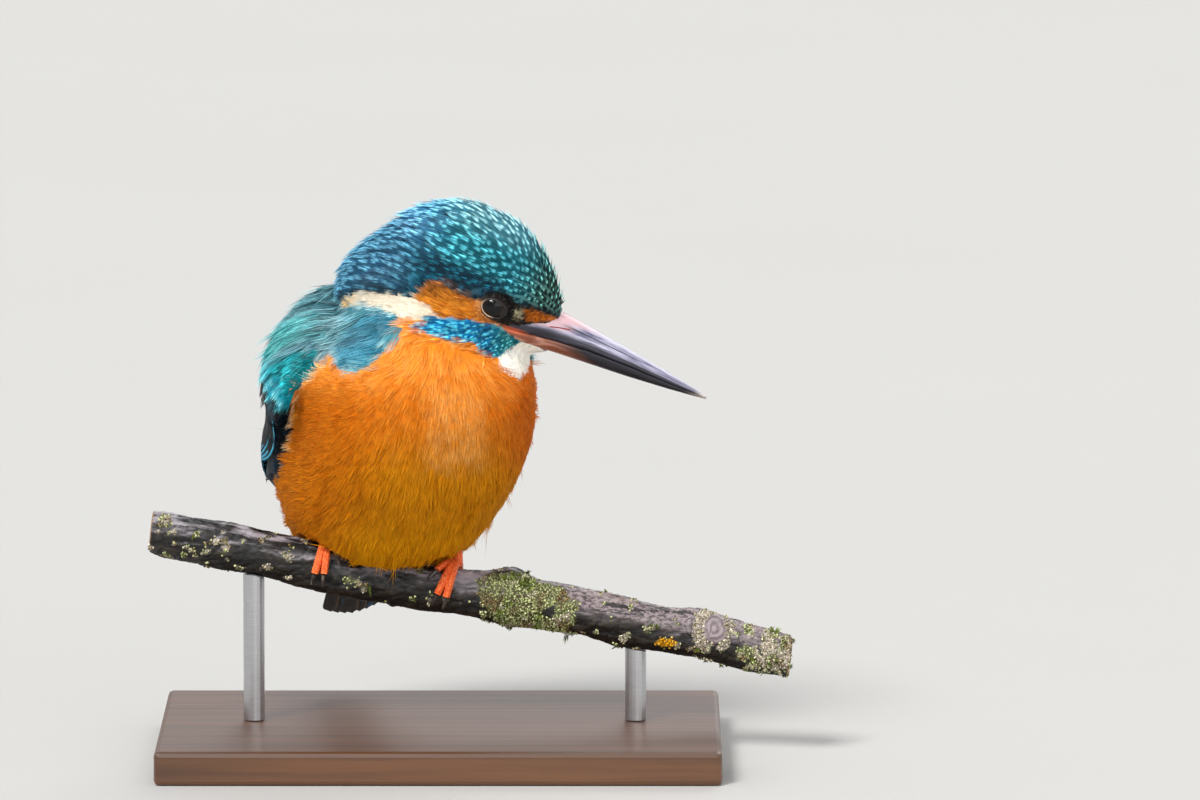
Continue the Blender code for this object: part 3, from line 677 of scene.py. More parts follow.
def buildSkin():
    skin = fused("skin", list(fleshNodes) + ["eye_right", "eye_left"], skinSizes["voxel"] / 1000,
                 skinSizes["bridge"] / 1000, skinSizes["smooth"])
    mesh = skin.data
    points = numbers(mesh.vertices, "co")
    normals = numbers(mesh.vertex_normals, "vector")
    trees = {name: nodeTree(name) for name in fleshNodes}
    names = list(trees)
    far = np.array([[trees[k].find_nearest(p)[3] for k in names] for p in points])
    part = np.array([fleshNodes[names[k]] for k in far.argmin(1)])
    own = treeOf(mesh)
    thick = []
    for p, n in zip(points, normals):
        hit = own.ray_cast(Vector(p - n * 1e-5), Vector(-n), 0.02)[3]
        thick.append(hit if hit is not None else 0.02)
    thick = np.array(thick) * 1000
    depth = np.where(part == "head", skinSizes["headDepth"],
                     np.where(part == "body", skinSizes["bodyDepth"], skinSizes["thinDepth"]))
    depth = np.minimum(depth + skinSizes["bridge"], thick * 0.28)
    points = points - normals * depth[:, None] / 1000
    placePoints(mesh, points)
    soften(mesh, 2)
    placePoints(mesh, openEyes(underBill(numbers(mesh.vertices, "co") * 1000)) / 1000)
    mesh.shade_smooth()
    return skin, part


def fillGroove(skin):
    # the flank's feathers run on over the wing's lower edge, so the skin has no step there
    mesh = skin.data
    p = numbers(mesh.vertices, "co") * 1000
    along, lateral, back = inBody(p)
    turn = np.degrees(np.arctan2(back, np.abs(lateral)))
    share = ramp(turn, -24, -14) * ramp(turn, 14, 8) * ramp(along, -24, -16) * ramp(along, 28, 23) * ramp(
        np.abs(lateral), 18, 22)
    soften(mesh, 150, 0.5 * share[:, None])


def markSkin(skin, part):
    mesh = skin.data
    points = numbers(mesh.vertices, "co") * 1000
    normals = numbers(mesh.vertex_normals, "vector")
    z = markings(points, part)
    tone, tip = tones(z, part)
    keep(mesh, "tone", tone, "FLOAT_COLOR")
    keep(mesh, "tip", tip, "FLOAT_COLOR")
    keep(mesh, "lie", liesOf(z, normals), "FLOAT_VECTOR")
    # feathers keep off the eyes, the bare bill, the feet and the perch
    near = np.full(len(points), 9.0)
    for name in ("perch", "leg_right", "leg_left"):
        tree = nodeTree(name)
        low, high = [np.array(c) * 1000 - k for c, k in zip(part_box(name), (6, -6))]
        for i in np.nonzero(((points > low) & (points < high)).all(1))[0]:
            near[i] = min(near[i], tree.find_nearest(Vector(points[i] / 1000))[3] * 1000)
    clear = (1 - z["eye"]) * (1 - z["bill"]) * ramp(near, 1.1, 1.6)
    head = sum(z[name] for name in ("ear", "malar", "napePatch", "throat", "lore", "orbit", "lash"))
    head = np.clip(head, 0, 1)
    under = (part == "tail") * (1 - z["tailTop"]) * ramp(z["along"], -60, -54)
    plain = clear * (1 - z["wing"]) * np.maximum(part != "tail", under)
    orange = plain * (1 - z["upper"]) * (1 - z["crown"]) * (1 - head)
    zones = {
        "onCrown": clear * z["crown"] * (1 - z["orbit"]),
        "onCheek": clear * (1 - z["malar"]) * head * (1 - z["crown"] * (1 - z["orbit"])),
        "onBreast": orange * (z["v"] > -36),
        "onBelly": orange * (z["v"] <= -36),
        "onFringe": clear * z["fringe"],
        "onMalar": clear * z["malar"],
        "onLoose": orange * (0.12 + 0.88 * ramp(z["v"], -50, -60)),
        "onWing": clear * z["wing"] * z["coverts"],
        "onBack": plain * z["upper"] * (1 - z["crown"]) * (1 - head),
        "onScapular": clear * np.maximum(z["scapular"], z["upper"] * ramp(z["back"], 8, 13) * ramp(
            z["along"], 14, 20) * (1 - z["wing"]) * (1 - z["crown"]) * (1 - head)),
    }
    for name, mask in zones.items():
        keep(mesh, name, mask if name == "onLoose" else (mask > 0.5) * mask)
    # how long, broad and lifted a tuft is, as a share of its piece's own size
    face = z["lore"] + z["orbit"] + z["lash"]
    face = face + 0.8 * z["malar"] * ramp(z["u"], -2, 3) + 0.9 * ramp(z["s"], 2, 10) * z["throat"]
    keep(mesh, "reach", (1 - 0.55 * np.clip(face, 0, 1)) * (1 - 0.35 * ramp(near, 6, 2)))
    keep(mesh, "breadth", 1 - 0.35 * np.clip(face, 0, 1))
    keep(mesh, "layer", 0.0009 * z["wing"] * ramp(z["along"], 14, 10))
    keep(mesh, "bare", (1 - np.clip(z["upper"] + z["wing"], 0, 1)) * ramp(z["besideU"], -26, -46))
    bpy.ops.object.select_all(action="DESELECT")
    skin.select_set(True)
    bpy.context.view_layer.objects.active = skin
    bpy.ops.object.mode_set(mode="EDIT")
    bpy.ops.mesh.select_all(action="SELECT")
    bpy.ops.uv.smart_project(angle_limit=math.radians(66), island_margin=0.002)
    bpy.ops.object.mode_set(mode="OBJECT")
    mesh.uv_layers[0].name = "hide"
    spot = np.zeros((len(points), 2))
    spot[cornersOf(mesh)] = numbers(mesh.uv_layers[0].uv, "vector", 2)
    keep(mesh, "rootSpot", np.concatenate([spot, np.zeros((len(spot), 1))], 1), "FLOAT_VECTOR")
    return z


def skinFinish():
    finish, board, shader = newFinish("skin", {"Roughness": 0.75})
    speck = board.noise(1400.0, 4.0)
    colour = board.mix(board.own("tone", "Color"), board.own("tip", "Color"), speck * 0.5)
    board.feed(shader, "Base Color", board.dim(colour, 0.72 + speck * 0.4))
    board.feed(shader, "Normal", board.bump(board.noise(2600.0, 2.0), 0.5, 0.0004))
    return finish


def barbTuft(name, barbs, seed, spread=(0.35, 0.8, 1.0), roundness=0.3, ragged=0.22, thick=0.13, slim=1.15):
    # a tuft one long and two across: slim closed barbs that fan out from the root
    pick = random.Random(seed)
    points, faces, across, along, body, barb = [], [], [], [], [], []
    for i in range(barbs):
        c = -1 + 2 * (i + 0.5) / barbs
        reach = 1 - roundness * c * c - pick.uniform(0, ragged)
        mid = 0.5 * reach
        half = slim / barbs * pick.uniform(0.75, 1.1)
        y = c * spread[1] + pick.uniform(-0.1, 0.1)
        tip = c * spread[2] + pick.uniform(-0.22, 0.22)
        hue = pick.random()
        base = len(points)
        for x, w, h in ((0, c * spread[0], -0.1), (mid, y - half, 0), (mid, y + half, 0), (mid, y, thick),
                        (reach, tip, 0.03)):
            points.append((x, w, h / 1000))
            along.append(x)
            across.append(w)
            body.append(h / 1000 * pick.uniform(0.7, 1.2))
            barb.append(hue)
        for f in ((0, 1, 3), (0, 3, 2), (0, 2, 1), (1, 4, 3), (3, 4, 2), (2, 4, 1)):
            faces.append([base + k for k in f])
    mesh = bpy.data.meshes.new(name)
    mesh.from_pydata(points, [], faces)
    mesh.shade_smooth()
    for label, values in (("along", along), ("across", across), ("thick", body), ("barb", barb)):
        keep(mesh, label, values)
    return bpy.data.objects.new(name, mesh)


def featherShelf(name, **shape):
    shelf = bpy.data.collections.new(name)
    for seed in range(5):
        shelf.objects.link(barbTuft("%s%d" % (name, seed), seed=seed + 11, **shape))
    return shelf


def coatTree(name, scattered):
    # sets tufts along a surface: on points scattered over it, or on the points handed in
    tree = bpy.data.node_groups.new(name, "GeometryNodeTree")
    ui = tree.interface
    ui.new_socket("Geometry", in_out="INPUT", socket_type="NodeSocketGeometry")
    for label, kind in (("Skin", "Object"), ("Feathers", "Collection"), ("Finish", "Material"), ("Cover", "String"),
                        ("Spacing", "Float"), ("Reach", "Float"), ("Breadth", "Float"), ("Lift", "Float"),
                        ("Wander", "Float"), ("Bow", "Float"), ("Strays", "Float"), ("Seed", "Int")):
        ui.new_socket(label, in_out="INPUT", socket_type="NodeSocket" + kind)
    ui.new_socket("Geometry", in_out="OUTPUT", socket_type="NodeSocketGeometry")
    b = Board(tree)
    given = tree.nodes.new("NodeGroupInput")
    g = {s.name: Wire(b, s) for s in given.outputs if s.name}

    def named(label, kind="FLOAT"):
        return b.add("GeometryNodeInputNamedAttribute", {"data_type": kind}, {"Name": label})

    def spread(share, seed):  # 1 give or take a share, for each tuft
        return b.random(1 - share, 1 + share, g["Seed"] + seed)

    def store(geometry, label, value, domain="INSTANCE", kind="FLOAT"):
        return b.add("GeometryNodeStoreNamedAttribute", {"domain": domain, "data_type": kind},
                     {"Geometry": geometry, "Name": label, "Value": value})

    surface = b.add("GeometryNodeObjectInfo", {}, {"Object": g["Skin"]}, "Geometry")
    if scattered:
        cover = b.add("GeometryNodeInputNamedAttribute", {"data_type": "FLOAT"}, {"Name": g["Cover"]})
        dots = tree.nodes.new("GeometryNodeDistributePointsOnFaces")
        dots.distribute_method = "POISSON"
        for label, value in (("Mesh", g["Geometry"]), ("Distance Min", g["Spacing"]), ("Density Factor", cover),
                             ("Density Max", 4.0 / (g["Spacing"] * g["Spacing"])), ("Seed", g["Seed"])):
            b.feed(dots, label, value)
        points, facing = Wire(b, dots.outputs["Points"]), Wire(b, dots.outputs["Normal"])
    else:
        points, facing = g["Geometry"], named("facing", "FLOAT_VECTOR")
    reach = named("reach") * g["Reach"]

    def seenAt(far, label, kind):  # a mark of the skin where a tuft of that length shows
        spot = b.add("ShaderNodeVectorMath", {"operation": "ADD"}, {
            0: b.add("GeometryNodeInputPosition"), 1: b.dim(named("lie", "FLOAT_VECTOR"), far * 0.7)})
        return b.add("GeometryNodeSampleNearestSurface", {"data_type": kind}, {
            "Mesh": surface, "Value": named(label, kind), "Sample Position": spot})

    # blue feathers stop short of the orange ones that lie over them
    over = b.add("ShaderNodeClamp", {}, {0: (seenAt(reach, "bare", "FLOAT") - named("bare")) * 1.6})
    points = store(points, "reach", reach * (1.0 - over * 0.65), "POINT")
    reach = named("reach")
    for label in ("tone", "tip"):
        points = store(points, label, seenAt(reach, label, "FLOAT_COLOR"), "POINT", "FLOAT_COLOR")
    turn = b.add("FunctionNodeAxesToRotation", {"primary_axis": "Z", "secondary_axis": "X"},
                 {0: facing, 1: named("lie", "FLOAT_VECTOR")})
    drift = b.random(-1.0, 1.0, g["Seed"] + 5)
    swing = b.add("FunctionNodeEulerToRotation", {},
                  {0: b.add("ShaderNodeCombineXYZ", {}, {2: drift * g["Wander"]})})
    turn = b.add("FunctionNodeRotateRotation", {"rotation_space": "LOCAL"}, {0: turn, 1: swing})
    size = b.add("ShaderNodeCombineXYZ", {}, {0: reach * spread(0.18, 1),
                                              1: named("breadth") * g["Breadth"] * spread(0.15, 2), 2: 1.0})
    shelf = b.add("GeometryNodeCollectionInfo", {}, {"Collection": g["Feathers"], "Separate Children": True,
                                                     "Reset Children": True})
    which = b.random(0, 4, g["Seed"] + 3, "INT")
    tufts = b.add("GeometryNodeInstanceOnPoints", {}, {"Points": points, "Instance": shelf, "Pick Instance": True,
                                                       "Instance Index": which, "Rotation": turn, "Scale": size})
    tufts = store(tufts, "tuft", b.random(0.0, 1.0, g["Seed"] + 7))
    stray = b.random(0.0, 1.0, g["Seed"] + 21)
    stray = stray.maths("GREATER_THAN", stray, 1.0 - g["Strays"])
    tufts = store(tufts, "rise", g["Lift"] * spread(0.45, 9) * (1.0 + stray * 1.6))
    whole = b.add("GeometryNodeRealizeInstances", {}, {"Geometry": tufts})

    def nearest(value):
        return b.add("GeometryNodeSampleNearestSurface", {"data_type": "FLOAT_VECTOR"},
                     {"Mesh": surface, "Value": value, "Sample Position": b.add("GeometryNodeInputPosition")})

    foot = nearest(b.add("GeometryNodeInputPosition"))
    out = nearest(b.add("GeometryNodeInputNormal"))
    whole = store(whole, "out", out, "POINT", "FLOAT_VECTOR")
    height = named("thick") + named("layer") + named("rise") * (named("along") ** g["Bow"])
    laid = b.add("ShaderNodeVectorMath", {"operation": "ADD"}, {0: foot, 1: b.dim(out, height)})
    whole = b.add("GeometryNodeSetPosition", {}, {"Geometry": whole, "Position": laid})
    whole = b.add("GeometryNodeSetShadeSmooth", {}, {"Geometry": whole, "Shade Smooth": True})
    whole = b.add("GeometryNodeSetMaterial", {}, {"Geometry": whole, "Material": g["Finish"]})
    b.feed(tree.nodes.new("NodeGroupOutput"), 0, whole)
    return tree


def bakeSpots(mesh):
    # each tuft's small patch, at its root's place on the skin's own unwrap
    roots = numbers(mesh.attributes["rootSpot"].data, "vector")[:, :2]
    low, high = roots.min(0), roots.max(0)
    along = numbers(mesh.attributes["along"].data, "value", 1)
    across = numbers(mesh.attributes["across"].data, "value", 1)
    patch = np.stack([np.clip(along, 0, 1), (np.clip(across, -1.2, 1.2) + 1.2) / 2.4], 1)
    spots = (roots - low) / np.maximum(high - low, 1e-6) * 0.996 + 0.003 * patch
    layer = mesh.uv_layers.new(name="OFBake", do_init=False)
    layer.uv.foreach_set("vector", spots[cornersOf(mesh)].astype(np.float32).ravel())
    mesh.uv_layers.active = layer


def softNormals(mesh, share):
    # shades each tuft mostly as the skin under it, so that the coat reads as one soft surface
    out = numbers(mesh.attributes["out"].data, "vector")
    counts = np.zeros(len(mesh.polygons), np.int32)
    mesh.polygons.foreach_get("loop_total", counts)
    face = np.repeat(numbers(mesh.polygons, "normal"), counts, axis=0)
    out = out[cornersOf(mesh)]
    upward = (out * face).sum(1)[:, None] > 0.15
    mesh.normals_split_custom_set(np.where(upward, unit(out * share + face * (1 - share)), face))


def layCoat(name, tree, source, skin, shelf, finish, node, soft=0.7, **sizes):
    holder = bpy.data.objects.new(name, source.data.copy())
    scene.collection.objects.link(holder)
    comb = holder.modifiers.new("comb", "NODES")
    comb.node_group = tree
    keys = {item.name: item.identifier for item in tree.interface.items_tree if item.in_out == "INPUT"}
    for label, value in dict({"Strays": 0.04}, **sizes, Skin=skin, Feathers=shelf, Finish=finish).items():
        comb[keys[label]] = value
    mesh = evaluated(holder)
    holder.modifiers.clear()
    holder.data = mesh
    for label in list(mesh.uv_layers.keys()):
        mesh.uv_layers.remove(mesh.uv_layers[label])
    bakeSpots(mesh)
    softNormals(mesh, soft)
    spare = [a.name for a in mesh.attributes if a.name.startswith("on")]
    spare += ["lie", "reach", "breadth", "rootSpot", "facing", "thick", "rise", "layer", "out", "bare"]
    for label in spare:
        if mesh.attributes.get(label):
            mesh.attributes.remove(mesh.attributes[label])
    if not mesh.materials:
        mesh.materials.append(finish)
    say("%s: %d triangles" % (name, sum(len(f.vertices) - 2 for f in mesh.polygons)))
    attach(holder, "root")


def featherFinish(name, tipFrom, tipTo, contrast, spot=0.0, roughness=0.6, specular=0.35, calm=False):
    finish, board, shader = newFinish(name, {"Roughness": roughness, "Specular IOR Level": specular})
    along, across = board.own("along"), board.own("across")
    reach = board.band(along + (board.own("tuft") - 0.5) * 0.12, tipFrom, tipTo)
    if spot:  # a bright spot in the middle of the tip, dark at the rim
        aside = abs(across)
        reach = reach * board.band(aside, spot, spot * 0.45) * board.band(along, 1.02, 0.9)
    colour = board.mix(board.own("tone", "Color"), board.own("tip", "Color"), reach)
    if calm:  # pale feathers vary less
        bright = board.add("ShaderNodeSeparateColor", {}, {0: board.own("tone", "Color")}, 2)
        contrast = contrast * (1.0 - 0.85 * board.band(bright, 0.25, 0.6))
    light = 1.0 + (board.own("barb") - 0.5) * contrast + (board.own("tuft") - 0.5) * contrast * 0.5
    board.feed(shader, "Base Color", board.dim(colour, light))
    return finish


def pointPiece(name, skin, places, facings, lies, reach, breadth, tone, tip, layer, tree):
    # bare points that a coat is laid on, each with the marks of the skin under it
    mesh = bpy.data.meshes.new(name)
    mesh.from_pydata([tuple(p / 1000) for p in places], [], [])
    keep(mesh, "facing", facings, "FLOAT_VECTOR")
    keep(mesh, "lie", lies, "FLOAT_VECTOR")
    keep(mesh, "reach", reach)
    keep(mesh, "breadth", breadth)
    keep(mesh, "tone", tone, "FLOAT_COLOR")
    keep(mesh, "tip", tip, "FLOAT_COLOR")
    keep(mesh, "layer", layer)
    spots = []
    for p in places:
        face = tree.find_nearest(Vector(p / 1000))[2]
        spots.append(skin["spots"][skin["faces"][face][0]])
    keep(mesh, "rootSpot", np.array(spots), "FLOAT_VECTOR")
    return bpy.data.objects.new(name, mesh)


crownRows = {
    "centre": (-9.0, -11.0),
    "line": ((17, -1), (16.5, .6), (13.5, 6.6), (9, 11.8), (4, 15.5), (-3, 18.6), (-12, 18.6), (-22, 13.6),
             (-30, 5.2), (-35, -2.5), (-36.5, -7)),
    "stepFront": 1.2, "stepRear": 1.75, "reach": (2.7, 5.2), "breadth": (0.6, 0.95),
    "crest": 1.4, "crestAt": -22.0, "crestLength": 9.0,
}
covertRows = {"from": 27.0, "to": -12.0, "step": 2.5, "aside": 2.5, "reach": (5.0, 7.5), "breadth": (1.25, 1.7)}


def covertPoints(skin, tree):
    z, found, pick = skin["zones"], [], random.Random(5)
    row = 0
    along = covertRows["from"]
    while along > covertRows["to"]:
        low, high = rowsAt(wingRows, along)
        turn = math.degrees(covertRows["aside"] / 32)
        for sign in (1, -1):
            for k in range(int((high - low + 20) / turn)):
                a = math.radians(low - 10 + (k + 0.5 * (row % 2) + pick.uniform(-0.15, 0.15)) * turn)
                out = unit(bodyRight * math.cos(a) * sign + bodyBack * math.sin(a))
                axis = bodyMiddle + bodyAlong * (along + pick.uniform(-0.3, 0.3))
                hit = hitFrom(tree, axis, out, 60)
                if hit is None:
                    continue
                v = skin["faces"][hit[2]][0]
                if z["coverts"][v] > 0.5 and z["scapular"][v] < 0.7:
                    found.append((*hit[:2], v, min(1.0, (covertRows["from"] - along) / 25)))
        along -= covertRows["step"]
        row += 1
    return found


def crownPoints(skin, tree):
    # rows across the crown, from the forehead to the nape, each walked down both sides
    z = skin["zones"]
    line = np.array(crownRows["line"], float)
    legs = np.concatenate([[0], np.cumsum(np.linalg.norm(np.diff(line, axis=0), axis=1))])
    pick = random.Random(3)
    cs, ct = crownRows["centre"]
    centre = headPlace(cs, 0, ct)
    at, row, found = 0.0, 0, []
    while at < legs[-1]:
        s, t = np.interp(at, legs, line[:, 0]), np.interp(at, legs, line[:, 1])
        share = min(1.0, at / 34)
        step = crownRows["stepFront"] + (crownRows["stepRear"] - crownRows["stepFront"]) * share
        for sign in (1, -1):
            a = 0.5 * (row % 2 if sign == 1 else 2 - row % 2) * step / max(t - ct, 4.0)
            while a < 2.1:
                turn = sign * a + pick.uniform(-0.12, 0.12) * step / 14
                out = unit(headAlong * (s - cs) + (headUp * math.cos(turn) + headRight * math.sin(turn)) * (t - ct))
                hit = hitFrom(tree, centre, out, 50)
                if hit is None:
                    a += step / 14
                    continue
                q = hit[0] - centre
                a += step / max(math.hypot(q @ headUp, q @ headRight), 4.0)
                v = skin["faces"][hit[2]][0]
                if z["crown"][v] < 0.5 or z["orbit"][v] > 0.5 or z["eye"][v] > 0.4 or z["bill"][v] > 0.3:
                    continue
                found.append((*hit[:2], v, share))
        at += step * 0.92
        row += 1
    return found


def skinFacts(skin, zones):
    mesh = skin.data
    return {
        "points": numbers(mesh.vertices, "co") * 1000, "faces": [tuple(f.vertices) for f in mesh.polygons],
        "spots": numbers(mesh.attributes["rootSpot"].data, "vector"), "zones": zones,
        "lie": numbers(mesh.attributes["lie"].data, "vector"),
        "layer": numbers(mesh.attributes["layer"].data, "value", 1),
        "tone": numbers(mesh.attributes["tone"].data, "color", 4)[:, :3],
        "tip": numbers(mesh.attributes["tip"].data, "color", 4)[:, :3],
    }


tuftShapes = {
    "soft": {"barbs": 11, "roundness": 0.3, "ragged": 0.35, "spread": (0.3, 0.85, 1.0), "thick": 0.035,
             "slim": 1.35},
    "fine": {"barbs": 8, "roundness": 0.3, "ragged": 0.35, "spread": (0.3, 0.85, 1.0), "thick": 0.03, "slim": 1.3},
    "capped": {"barbs": 11, "roundness": 0.42, "ragged": 0.1, "spread": (0.45, 0.85, 0.9), "thick": 0.08,
               "slim": 1.25},
    "silk": {"barbs": 12, "roundness": 0.15, "ragged": 0.5, "spread": (0.6, 0.95, 1.05), "thick": 0.04,
             "slim": 1.1},
    "loose": {"barbs": 3, "roundness": 0.2, "ragged": 0.5, "spread": (0.5, 0.8, 1.3), "thick": 0.04, "slim": 0.5},
}
coatLooks = {
    "breastFeathers": {"tipFrom": 0.3, "tipTo": 1.0, "contrast": 0.34, "roughness": 0.85, "specular": 0.08},
    "backFeathers": {"tipFrom": 0.3, "tipTo": 0.9, "contrast": 0.9, "roughness": 0.5, "specular": 0.25},
    "scapularFeathers": {"tipFrom": 0.2, "tipTo": 0.95, "contrast": 1.4, "roughness": 0.5, "specular": 0.25},
    "faceFeathers": {"tipFrom": 0.3, "tipTo": 0.85, "contrast": 0.55, "roughness": 0.75, "specular": 0.12,
                     "calm": True},
    "crownFeathers": {"tipFrom": 0.5, "tipTo": 0.68, "contrast": 0.7, "spot": 0.72, "roughness": 0.5,
                      "specular": 0.2},
    "covertFeathers": {"tipFrom": 0.4, "tipTo": 0.75, "contrast": 0.6, "spot": 1.1, "roughness": 0.45,
                       "specular": 0.25},
    "malarFeathers": {"tipFrom": 0.5, "tipTo": 0.7, "contrast": 1.0, "spot": 0.9, "roughness": 0.5,
                      "specular": 0.2},
    "fringeFeathers": {"tipFrom": 0.55, "tipTo": 0.85, "contrast": 0.6, "roughness": 0.8, "specular": 0.1},
}
usualCoat = {"wander": 0.12, "strays": 0.03, "soft": 0.72}
# piece, tuft, finish, slot, zone, then spacing, reach, breadth and lift in mm, seed, and what isn't as usual
scatteredCoats = [
    ("coatBreast", "soft", "breastFeathers", "breast_feathers", "onBreast", 0.9, 7.2, 1.1, 0.42, 4, {}),
    ("coatBelly", "soft", "breastFeathers", "breast_feathers", "onBelly", 1.13, 7.8, 1.28, 0.5, 14,
     {"strays": 0.06}),
    ("coatLoose", "loose", "breastFeathers", "breast_feathers", "onLoose", 1.9, 9.5, 0.7, 1.9, 34,
     {"wander": 0.3, "strays": 0.05, "soft": 0.5}),
    ("coatFringe", "silk", "fringeFeathers", "breast_feathers", "onFringe", 0.72, 4.8, 0.62, 1.1, 24,
     {"wander": 0.2, "soft": 0.5}),
    ("coatBack", "silk", "backFeathers", "breast_feathers", "onBack", 1.1, 8.0, 0.95, 0.6, 5,
     {"strays": 0.0, "soft": 0.6}),
    ("coatWing", "silk", "backFeathers", "wing_feathers", "onWing", 1.5, 7.0, 1.2, 0.5, 25,
     {"strays": 0.0, "soft": 0.6}),
    ("coatScapular", "silk", "scapularFeathers", "wing_feathers", "onScapular", 1.1, 13.0, 0.9, 1.9, 15,
     {"wander": 0.07, "strays": 0.02, "soft": 0.4}),
    ("coatCheek", "fine", "faceFeathers", "crown_feathers", "onCheek", 0.62, 4.6, 0.7, 0.34, 6, {}),
    ("coatMalar", "capped", "malarFeathers", "crown_feathers", "onMalar", 0.85, 4.6, 0.7, 0.6, 26, {"soft": 0.5}),
]


def buildCoats(skin, zones):
    facts = skinFacts(skin, zones)
    tree = treeOf(skin.data)
    scatter, setOut = coatTree("scatterTufts", True), coatTree("setTufts", False)
    shelves = {name: featherShelf(name + "Tuft", **shape) for name, shape in tuftShapes.items()}
    finishes = {name: featherFinish(name, **look) for name, look in coatLooks.items()}
    coarse = 1.0
    for name, tuft, finish, slot, cover, spacing, reach, breadth, lift, seed, own in scatteredCoats:
        usual = dict(usualCoat, **own)
        layCoat(name, scatter, skin, skin, shelves[tuft], finishes[finish], slot, soft=usual["soft"], Cover=cover,
                Spacing=spacing * coarse / 1000, Reach=reach / 1000, Breadth=breadth / 1000, Lift=lift / 1000,
                Wander=usual["wander"], Bow=1.2, Strays=usual["strays"], Seed=seed)

    def setOutRows(name, found, finish, node, reach, breadth, lift, seed, soft, layer=0.0, strays=0.03):
        v = np.array([f[2] for f in found])
        share = np.array([f[3] for f in found])
        points = pointPiece(
            name + "Points", facts, np.array([f[0] for f in found]), np.array([f[1] for f in found]),
            facts["lie"][v],
            (reach[0] + (reach[1] - reach[0]) * share) / 1000,
            (breadth[0] + (breadth[1] - breadth[0]) * share) / 1000, facts["tone"][v], facts["tip"][v],
            facts["layer"][v] + layer / 1000, tree)
        layCoat(name, setOut, points, skin, shelves["capped"], finishes[finish], node, soft=soft, Reach=1.0,
                Breadth=1.0, Lift=lift / 1000, Wander=0.1, Bow=1.4, Seed=seed, Cover="", Spacing=0.0, Strays=strays)
        bpy.data.objects.remove(points)

    found = crownPoints(facts, tree)
    s, _, t = inHead(np.array([f[0] for f in found]))
    crest = np.exp(-((s - crownRows["crestAt"]) / crownRows["crestLength"]) ** 2)
    crest = crownRows["crest"] * crest * ramp(t, 2, 11)
    setOutRows("coatCrown", found, "crownFeathers", "crown_feathers", crownRows["reach"], crownRows["breadth"],
               1.4, 8, 0.4, layer=crest, strays=0.0)
    setOutRows("coatCoverts", covertPoints(facts, tree), "covertFeathers", "wing_feathers",
               covertRows["reach"], covertRows["breadth"], 1.0, 18, 0.5)
    for shelf in shelves.values():
        for item in list(shelf.objects):
            bpy.data.objects.remove(item)
        bpy.data.collections.remove(shelf)


def ringPiece(name, rings, closed=True, caps=False):
    # rings of points skinned into one closed shape
    count = len(rings[0])
    points = [p for r in rings for p in r]
    faces = []
    for i in range(len(rings) if closed else len(rings) - 1):
        a, b = i * count, (i + 1) % len(rings) * count
        for k in range(count):
            n = (k + 1) % count
            faces.append((a + k, a + n, b + n, b + k))
    if caps:
        faces.append(tuple(range(count))[::-1])
        faces.append(tuple((len(rings) - 1) * count + k for k in range(count)))
    piece = newPiece(name, np.array(points) / 1000, faces)
    bm = bmesh.new()
    bm.from_mesh(piece.data)
    bmesh.ops.remove_doubles(bm, verts=bm.verts, dist=1e-7)
    bmesh.ops.recalc_face_normals(bm, faces=bm.faces)
    bm.to_mesh(piece.data)
    bm.free()
    return piece


def buildEyes():
    ball, board, shader = newFinish("eyeDark", {"Roughness": 0.03, "Specular IOR Level": 0.3})
    iris = board.band(board.own("fromAxis"), 0.52, 0.6)
    board.feed(shader, "Base Color", board.mix("040303", board.mix(
        "0c0705", "24150d", board.noise(900.0, 3.0)), iris))
    rim, board, shader = newFinish("eyeRim", {"Roughness": 0.5})
    grain = board.noise(1500.0, 3.0)
    colour = board.mix(board.mix("0d0b0a", "2a2420", grain), "c8ae92", board.own("pale"))
    board.feed(shader, "Base Color", colour)
    board.feed(shader, "Normal", board.bump(grain, 0.4, 0.0002))
    for label, sign in (("right", 1), ("left", -1)):
        centre = headPlace(0, sign * eye["out"], eye["up"])
        out = headRight * sign
        rings = []
        for i in range(1, 32):
            a = math.pi * i / 32
            rings.append([centre + eye["radius"] * (out * math.cos(a) + math.sin(a) * (
                headAlong * math.cos(b) + headUp * math.sin(b))) for b in np.linspace(0, 2 * math.pi, 64, False)])
        globe = ringPiece("eye_%s_globe" % label, rings, closed=False, caps=True)
        points = numbers(globe.data.vertices, "co") * 1000 - centre
        keep(globe.data, "fromAxis", np.degrees(np.arccos(np.clip(points @ out / eye["radius"], -1, 1))) / 60)
        globe.data.materials.append(ball)
        rings, pale = [], []
        for b in np.linspace(0, 2 * math.pi, 96, False):
            way = headAlong * math.cos(b) + headUp * math.sin(b)
            hole = 0.95 / math.hypot(math.cos(b) / eye["opening"][0], math.sin(b) / eye["opening"][1])
            hole *= 1 + 0.16 * max(math.cos(b + 0.12), 0) ** 5  # drawn out a little towards the bill
            light = float(ramp(math.cos(b - math.radians(222)), 0.1, 0.75))
            wide = eye["rimWidth"] * (1 + 0.1 * math.sin(24 * b))
            ring = []
            for grow, lift, share in ((0.0, 0.01, 1), (0.12, 0.15, 1), (0.4, 0.24, 0.7), (0.75, 0.22, 0.1),
                                      (1.1, 0.08, 0), (1.0, -0.35, 0), (0.4, -0.35, 0)):
                r = hole + wide * grow
                rise = math.sqrt(max(eye["radius"] ** 2 - r * r, 0)) + lift
                ring.append(centre + way * r + out * rise)
                pale.append(light * share)
            rings.append(ring)
        lids = ringPiece("eye_%s_rim" % label, rings)
        keep(lids.data, "pale", pale)
        lids.data.materials.append(rim)
        for piece in (globe, lids):
            piece.data.shade_smooth()
            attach(piece, "root")
        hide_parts("eye_" + label)


